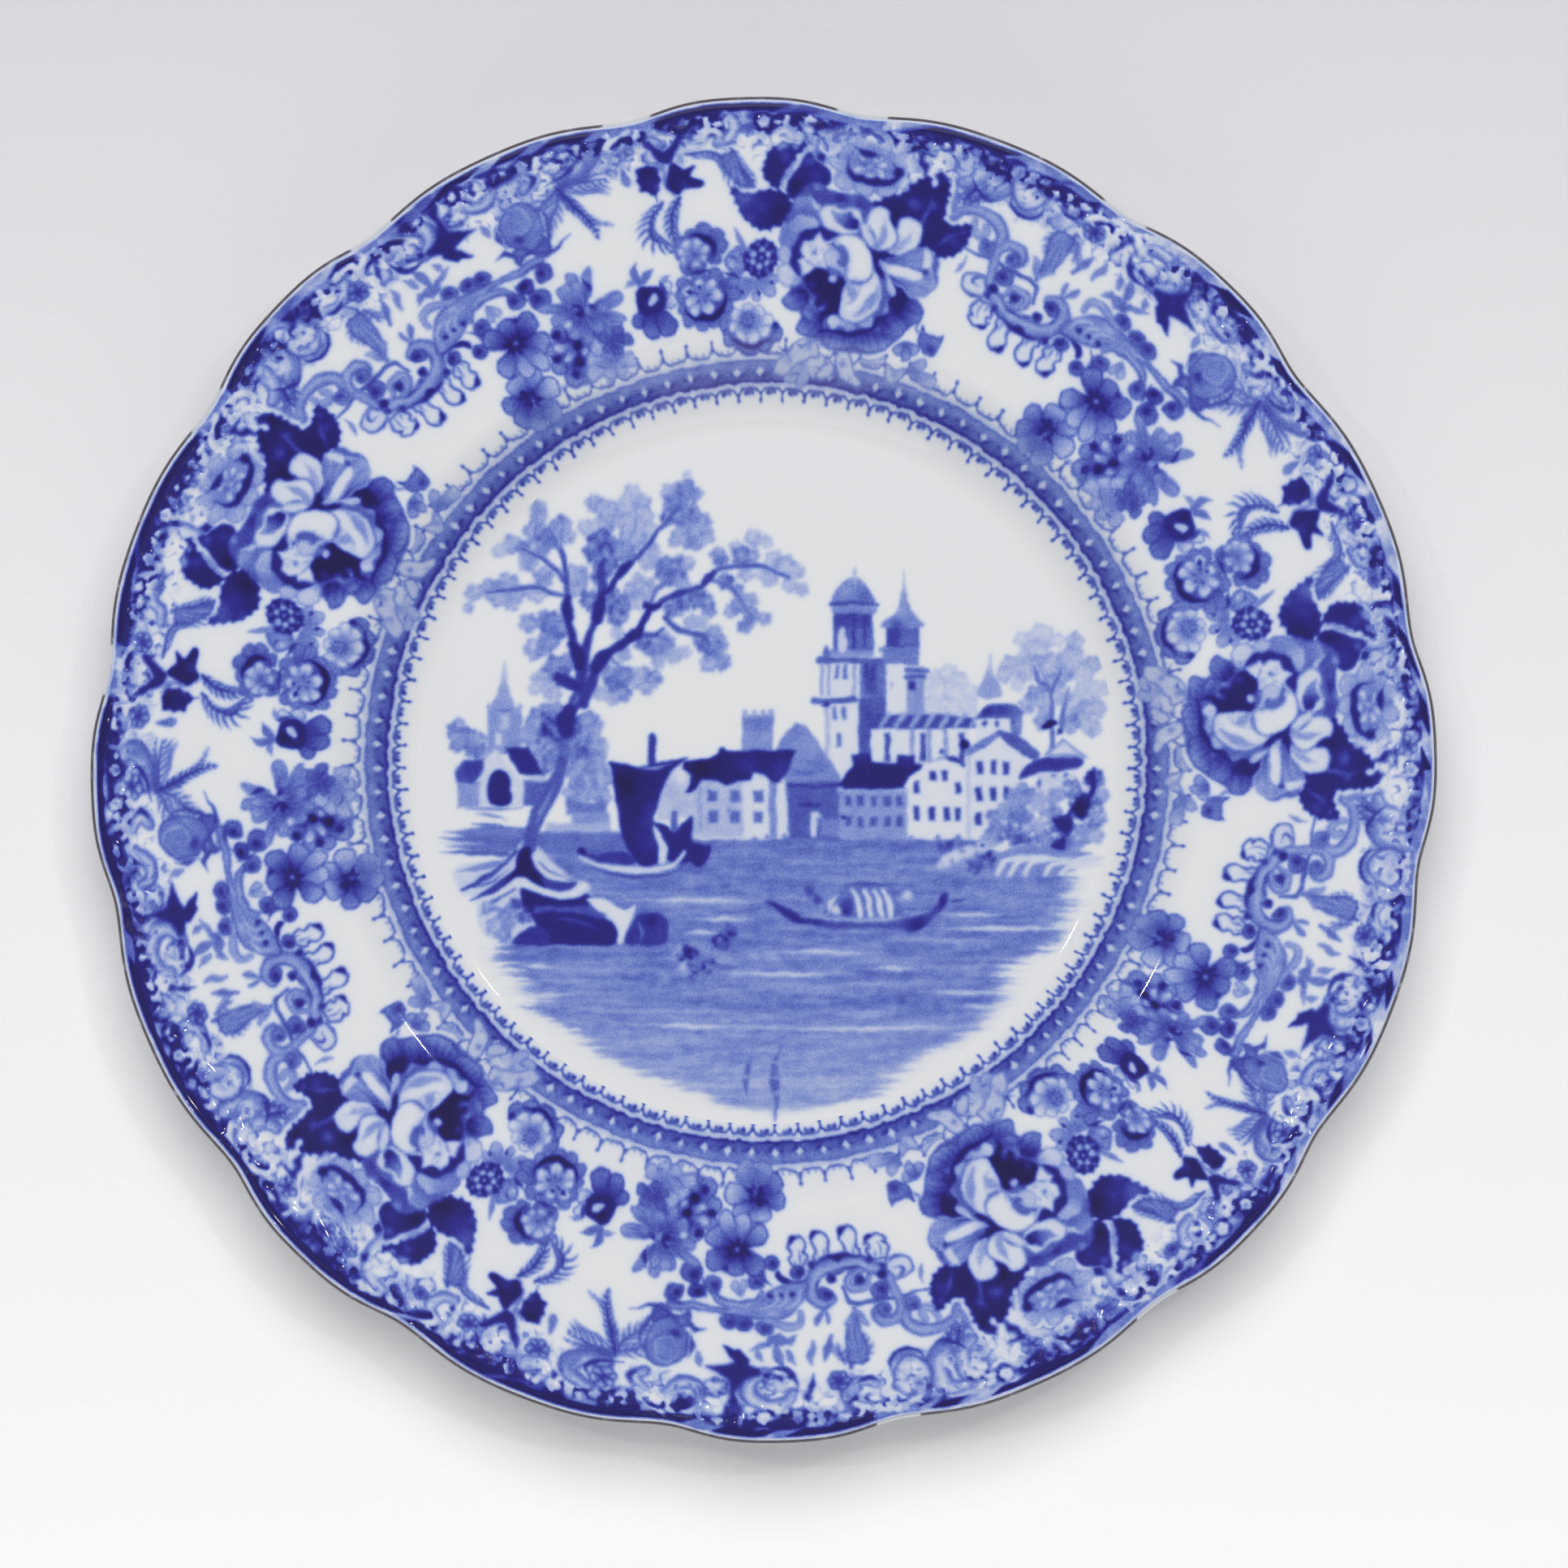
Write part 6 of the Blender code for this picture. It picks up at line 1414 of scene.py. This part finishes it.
borderPrint = {
    "offset": (0.6, 1.5),
    # each strip: the peony's angle, the room to its left and right before the joint, the ink's strength
    "strips": (
        (151.95, 36.4, 36.2, 1.0),
        (79.5, 36.2, 37.4, 0.98),
        (4.75, 37.4, 36.0, 0.97),
        (-62.3, 31.2, 36.45, 1.0),
        (224.8, 36.45, 36.4, 1.0),
    ),
    "halfLength": 36,
    "pitch": 0.22,
    "wobble": 0.26,
    "softness": (0.32, 0.55),
    "bleeds": ((0.8, 0.2), (2.4, 0.1)),
    "reliefSoftness": (0.3, 0.9),
    "poolReach": 0.8,
}
print("inking the border")
half, pitch = borderPrint["halfLength"], borderPrint["pitch"]
span = np.arange(-half, half, pitch / aspect) * aspect
border = Sheet(span, np.arange(68.5, 130.5, pitch), aspect, 2 * half * aspect, wobble=borderPrint["wobble"])
inkBand(border)
for draw in (inkOverBand, inkEdge, inkRim, inkSprays, inkScroll, inkPansies, inkPosies, inkPeony):
    draw(border)
border.soften(*borderPrint["softness"])
for reach, share in borderPrint["bleeds"]:
    border.bleed(reach, share)
relief, hollows = mouldedRim(), mouldedRim()
relief.soften(*borderPrint["reliefSoftness"])
hollows.ink = relief.blurred(borderPrint["poolReach"])


def meshFromGrid(name, x, y, z, material, body="root", nodes=(), closeU=False, attributes=None, flip=False,
        poles=False):
    # a surface through a grid of points in mm; attributes are named numbers, one for each point;
    # poles draws the first and the last row together into one point each
    rows, cols = x.shape
    index = np.arange(rows * cols).reshape(rows, cols)
    if closeU:
        index = np.concatenate([index, index[:, :1]], axis=1)
    a, b, c, d = index[:-1, :-1], index[:-1, 1:], index[1:, 1:], index[1:, :-1]
    quads = np.stack([a, b, c, d] if not flip else [a, d, c, b], -1).reshape(-1, 4)
    points = np.stack([x, y, z], -1).reshape(-1, 3) * 0.001
    mesh = bpy.data.meshes.new(name)
    mesh.vertices.add(len(points))
    mesh.vertices.foreach_set("co", points.ravel().astype(np.float32))
    mesh.loops.add(quads.size)
    mesh.loops.foreach_set("vertex_index", quads.ravel().astype(np.int32))
    mesh.polygons.add(len(quads))
    mesh.polygons.foreach_set("loop_start", np.arange(0, quads.size, 4, dtype=np.int32))
    mesh.update(calc_edges=True)
    mesh.validate()
    for key, values in (attributes or {}).items():
        layer = mesh.attributes.new(key, "FLOAT", "POINT")
        layer.data.foreach_set("value", values.ravel().astype(np.float32))
    if poles:
        joined = bmesh.new()
        joined.from_mesh(mesh)
        bmesh.ops.remove_doubles(joined, verts=joined.verts, dist=1e-6)
        joined.to_mesh(mesh)
        joined.free()
    mesh.shade_smooth()
    mesh.materials.append(material)
    obj = bpy.data.objects.new(name, mesh)
    bpy.context.scene.collection.objects.link(obj)
    if body:
        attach(obj, body)
    if nodes:
        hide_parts(*nodes)
    return obj


def frontStrip(number, material, columns=470, rows=212):
    # one border strip: from joint to joint round the plate and from the picture's edge out to the lip
    start = joints[number]
    sweep = (joints[(number + 1) % len(joints)] - start) % 360
    u, v = np.meshgrid(np.linspace(0, 1, columns), np.linspace(0, 1, rows))
    angle = start + sweep * u
    r = plateShape["pictureRadius"] + (plateShape["frontEnd"] - plateShape["pictureRadius"]) * v
    reach = scalloped(r, angle)
    x, y = reach * np.cos(np.radians(angle)), reach * np.sin(np.radians(angle))
    ink, height = plateInk(border, relief, hollows, x, y)
    obj = meshFromGrid(f"borderPrint{number + 1}", x, y, frontHeight(r) + height, material, flip=True,
        nodes=[f"border_print_{number + 1}"], attributes={"ink": ink})


def discGrid(radius, n):
    # a square grid pressed onto a disc without crowding its points
    a, b = np.meshgrid(np.linspace(-1, 1, n), np.linspace(-1, 1, n))
    with np.errstate(divide="ignore", invalid="ignore"):
        wide = np.abs(a) > np.abs(b)
        r = np.where(wide, a, b)
        beside = np.pi / 4 * b / np.where(a == 0, 1, a)
        above = np.pi / 2 - np.pi / 4 * a / np.where(b == 0, 1, b)
        phi = np.where(wide, beside, above)
    return radius * r * np.cos(phi), radius * r * np.sin(phi)


def pictureHalves(material, n=440):
    # the picture in the well, a lower and an upper half that share one row of points
    x, y = discGrid(plateShape["pictureRadius"], n)
    z = frontHeight(np.hypot(x, y))
    ink = picture.read(x, y)
    halves = {"picturePrintLower": slice(0, n // 2 + 1), "picturePrintUpper": slice(n // 2, n)}
    for name, rows in halves.items():
        obj = meshFromGrid(name, x[rows], y[rows], z[rows], material, nodes=["centre_print"],
            attributes={"ink": ink[rows]})


def turnedGrid(profile, columns):
    # a profile of (radius, height) points carried round the axis, with the edge scalloped
    profile = np.asarray(profile, float)
    angle = np.arange(columns) * 360 / columns
    r = scalloped(profile[:, :1], angle[None, :]) * np.ones((1, columns))
    z = profile[:, 1:] * np.ones((1, columns))
    return r * np.cos(np.radians(angle)), r * np.sin(np.radians(angle)), z


def plateBack(material, columns=540):
    # the body, one closed shell: a seat just under the printed front, the lip, then the underside
    # along the rim, round the cavetto, over the foot ring and to the middle
    s = plateShape
    lipR = s["edgeRadius"] - s["lipRadius"]
    lipZ = float(frontHeight(np.array(lipR))) - s["lipRadius"]
    r = np.concatenate([[0], np.linspace(30, 60, 3), np.linspace(64, lipR, 24)])
    seat = np.stack([r, frontHeight(r) - s["skin"]], -1)
    a = np.radians([60, 30, 0, -34, -38, -48, -58, -68, -78, -88])
    out = s["lipRadius"] - s["skin"] * (np.arange(len(a)) < 4)
    lip = np.stack([lipR + out * np.cos(a), lipZ + out * np.sin(a)], -1)
    r = np.concatenate([np.linspace(126.8, 90, 24), np.linspace(88.5, 77.5, 16)])
    thinning = ease((r - s["wellRadius"]) / (s["edgeRadius"] - s["wellRadius"]))
    wall = s["wallWell"] + (s["wallRim"] - s["wallWell"]) * thinning
    under = np.stack([r, frontHeight(r) - wall], -1)
    base, low, high = s["wellZ"] - s["wallWell"], s["footInner"], s["footOuter"]
    foot = curve([(77.5, under[-1, 1]), (high + 1.8, 4.1), (high + 0.8, 2.4), (high + 0.4, 0.7),
        (high, 0.12), ((low + high) / 2, 0), (low + 0.1, 0.12), (low - 0.3, 0.7), (low - 1.1, 2.0),
        (low - 2.8, base)], steps=5)[1:]
    inner = np.stack([np.linspace(67.6, 0, 26), np.full(26, base)], -1)
    x, y, z = turnedGrid(np.vstack([seat, lip, under, foot, inner]), columns)
    obj = meshFromGrid("plateBack", x, y, z, material, nodes=["plate_body"], closeU=True, flip=True,
        poles=True)


def edgeLine(material, columns=1440):
    # the worn line round the lip, from just inside the front to just under the edge
    s = plateShape
    lipR = s["edgeRadius"] - s["lipRadius"]
    lipZ = float(frontHeight(np.array(lipR))) - s["lipRadius"]
    top = np.degrees(np.arccos((s["frontEnd"] - lipR) / s["lipRadius"]))
    a = np.radians(np.linspace(top, -38, 16))
    profile = np.stack([lipR + s["lipRadius"] * np.cos(a), lipZ + s["lipRadius"] * np.sin(a)], -1)
    x, y, z = turnedGrid(profile, columns)
    angle = np.degrees(np.arctan2(y, x)) % 360
    obj = meshFromGrid("edgeLine", x, y, z, material, nodes=["edge_line"], closeU=True, flip=True,
        attributes={"bare": cuspGap(angle, lobeDrop(angle))})


class Value:
    # wraps a number socket, so that shader sums are written as Python sums
    def __init__(self, tree, socket):
        self.tree, self.socket = tree, socket

    def math(self, operation, other=None, swap=False):
        values = (other, self) if swap else (self, other)
        sockets = dict(enumerate(v for v in values if v is not None))
        return self.tree.node("ShaderNodeMath", {"operation": operation}, sockets)

    def __add__(self, other):
        return self.math("ADD", other)

    def __sub__(self, other):
        return self.math("SUBTRACT", other)

    def __rsub__(self, other):
        return self.math("SUBTRACT", other, swap=True)

    def __mul__(self, other):
        return self.math("MULTIPLY", other)

    __radd__, __rmul__ = __add__, __mul__


class Finish:
    # a material and its nodes
    def __init__(self, name):
        self.material = bpy.data.materials.new(name)
        self.material.use_nodes = True
        self.nodes, self.links = self.material.node_tree.nodes, self.material.node_tree.links
        self.nodes.clear()

    def node(self, kind, settings=None, sockets=None, output=0):
        made = self.nodes.new(kind)
        for key, value in (settings or {}).items():
            if key == "stops":
                ramp = made.color_ramp
                while len(ramp.elements) < len(value):
                    ramp.elements.new(0.5)
                for element, (at, colour) in zip(ramp.elements, value):
                    element.position, element.color = at, (*colour, 1)
            else:
                setattr(made, key, value)
        for key, value in (sockets or {}).items():
            if isinstance(value, Value):
                self.links.new(value.socket, made.inputs[key])
            else:
                made.inputs[key].default_value = value
        return Value(self, made.outputs[output]) if len(made.outputs) else None

    def noise(self, place, scale, detail, roughness=0.5):
        sockets = {"Vector": place, "Scale": scale, "Detail": detail, "Roughness": roughness}
        return self.node("ShaderNodeTexNoise", None, sockets, "Fac")

    def shades(self, value, stops):
        return self.node("ShaderNodeValToRGB", {"stops": stops}, {"Fac": value}, "Color")

    def glazed(self, shade, wave):
        # a colour under a clear, slightly uneven glaze
        sockets = {"Strength": glaze["waviness"], "Distance": 0.001, "Height": wave}
        bump = self.node("ShaderNodeBump", None, sockets, "Normal")
        return self.surface({
            "Base Color": shade,
            "Roughness": glaze["roughness"],
            "Coat Weight": glaze["coat"],
            "Coat Roughness": glaze["coatRoughness"],
            "Normal": bump,
            "Specular IOR Level": glaze["specular"],
        })

    def surface(self, sockets):
        shader = self.node("ShaderNodeBsdfPrincipled", None, sockets)
        self.node("ShaderNodeOutputMaterial", None, {"Surface": shader})
        return self.material


def glazeColour(red, green, blue, light=0.93):
    # a shown colour, 0 to 255, as the colour the surface needs under this light
    c = np.array([red, green, blue]) / 255
    return tuple(np.where(c < 0.04045, c / 12.92, ((c + 0.055) / 1.055) ** 2.4) / light)


inkStops = [(0.0, (224, 225, 226)), (0.1, (205, 210, 223)), (0.2, (184, 193, 220)), (0.3, (162, 174, 214)),
    (0.4, (139, 154, 208)), (0.5, (117, 134, 201)), (0.6, (94, 111, 190)), (0.7, (74, 86, 174)),
    (0.8, (51, 54, 156)), (0.9, (31, 25, 131)), (1.0, (10, 0, 72))]
glaze = {"roughness": 0.35, "coat": 1.0, "coatRoughness": 0.035, "waviness": 0.04, "specular": 0.2}


def printedGlaze(name):
    # ink under clear glaze: the ink's strength picks the colour; fine grain of the engraving breaks it up
    f = Finish(name)
    place = f.node("ShaderNodeTexCoord", None, None, "Object")
    ink = f.node("ShaderNodeAttribute", {"attribute_name": "ink"}, None, "Fac")
    speck = f.noise(place, 2600.0, 2.0, 0.6)
    cloud = f.noise(place, 420.0, 3.0, 0.6)
    # strongest in the middle tones, where the engraver used dots and lines
    broken = ink * (1 - ink) * 4
    value = ink + (speck - 0.5) * broken * 0.34 + (cloud - 0.5) * broken * 0.24
    shade = f.shades(value, [(at, glazeColour(*c)) for at, c in inkStops])
    return f.glazed(shade, f.noise(place, 60.0, 2.0))


def plainGlaze(name):
    # bare glaze over the clay, a little pooled and speckled
    f = Finish(name)
    place = f.node("ShaderNodeTexCoord", None, None, "Object")
    cloud = f.noise(place, 45.0, 4.0)
    shade = f.shades(cloud, [(0.3, glazeColour(214, 217, 222)), (0.7, glazeColour(226, 227, 228))])
    return f.glazed(shade, cloud)


lustreStops = [(0.0, (0.1, 0.085, 0.1)), (0.5, (0.19, 0.17, 0.21)), (0.8, (0.45, 0.45, 0.55)),
    (1.0, (0.75, 0.77, 0.82))]


def wornLine(name):
    # dark lustre over the lip, rubbed through to the glaze in places
    f = Finish(name)
    place = f.node("ShaderNodeTexCoord", None, None, "Object")
    rub = f.noise(place, 300.0, 4.0, 0.65)
    bare = f.node("ShaderNodeAttribute", {"attribute_name": "bare"}, None, "Fac")
    reach = {"Value": rub + bare * 0.5, "From Min": 0.5, "From Max": 0.75}
    mask = f.node("ShaderNodeMapRange", None, reach)
    shade = f.shades(mask, lustreStops)
    return f.surface({"Base Color": shade, "Metallic": 0.35, "Roughness": 0.3 + rub * 0.2})


def paleFloor(name):
    # a plain pale floor, darker towards the back: painted shade, standing in for the light falling off away
    # from the front
    f = Finish(name)
    place = f.node("ShaderNodeTexCoord", None, None, "Object")
    split = f.node("ShaderNodeSeparateXYZ", None, {"Vector": place}, "Y")
    tone = f.node("ShaderNodeMapRange", None, {"Value": split, "From Min": -0.16, "From Max": 0.16})
    # painted shade: white at the front, grey at the back
    shown = ((255, 255, 255), (238, 237, 239), (214, 212, 215))
    shade = f.shades(tone, [(at, glazeColour(*c)) for at, c in zip((0.0, 0.5, 1.0), shown)])
    return f.surface({"Base Color": shade, "Roughness": 0.9})


print("making the plate")
printed, plain, worn = printedGlaze("printUnderGlaze"), plainGlaze("clearGlaze"), wornLine("wornLustre")
for number in range(len(joints)):
    frontStrip(number, printed)
pictureHalves(printed)
plateBack(plain)
edgeLine(worn)

print("setting the stage")
floorReach = 1500
span = np.linspace(-floorReach, floorReach, 40)
floorX, floorY = np.meshgrid(span, span)
floor = meshFromGrid("floor", floorX, floorY, floorX * 0, paleFloor("paleFloorPaintedShade"), body=None)

lightsAndCamera = {
    "glints": (((0.50, 0.39, 1.52), 0.055, 1.2), ((-0.55, 0.30, 1.52), 0.05, 1.0)),
    "overhead": ((0.0, 0.75, 1.8), 1.3, 22.0),
    "low": ((0.0, -1.2, 1.0), 1.2, 2.5),
    "world": (0.85, 0.87, 0.9, 0.36),
    "cameraAt": (0.0039, -0.0027, 1.62),
    "focusHeight": 0.02,
    "viewWidth": 0.3031,
    "sensorWidth": 36,
}


def addLight(name, place, size, power, aim=(0, 0, 0.01), shiny=True):
    light = bpy.data.lights.new(name, "AREA")
    light.shape, light.size, light.energy = "DISK", size, power
    obj = bpy.data.objects.new(name, light)
    obj.location = place
    away = np.array(place) - np.array(aim)
    flat = float(np.hypot(away[0], away[1]))
    turn = float(np.arctan2(away[0], -away[1])) if flat else 0
    obj.rotation_euler = (float(np.arctan2(flat, away[2])), 0, turn)
    obj.visible_glossy = shiny
    bpy.context.scene.collection.objects.link(obj)


for i, (place, size, power) in enumerate(lightsAndCamera["glints"]):
    addLight(f"glint{i + 1}", place, size, power)
place, size, power = lightsAndCamera["overhead"]
addLight("overheadSoft", place, size, power, shiny=False)
place, size, power = lightsAndCamera["low"]
addLight("lowCard", place, size, power)
world = bpy.data.worlds.new("studio")
world.use_nodes = True
background = world.node_tree.nodes["Background"]
*tint, strength = lightsAndCamera["world"]
background.inputs["Color"].default_value = (*tint, 1)
background.inputs["Strength"].default_value = strength
scene = bpy.context.scene
scene.world = world
scene.view_settings.view_transform = "Standard"

camera = bpy.data.cameras.new("camera")
camera.sensor_width = lightsAndCamera["sensorWidth"]
distance = lightsAndCamera["cameraAt"][2] - lightsAndCamera["focusHeight"]
camera.lens = lightsAndCamera["sensorWidth"] * distance / lightsAndCamera["viewWidth"]
cameraObject = bpy.data.objects.new("camera", camera)
cameraObject.location = lightsAndCamera["cameraAt"]
scene.collection.objects.link(cameraObject)
scene.camera = cameraObject

print("done")
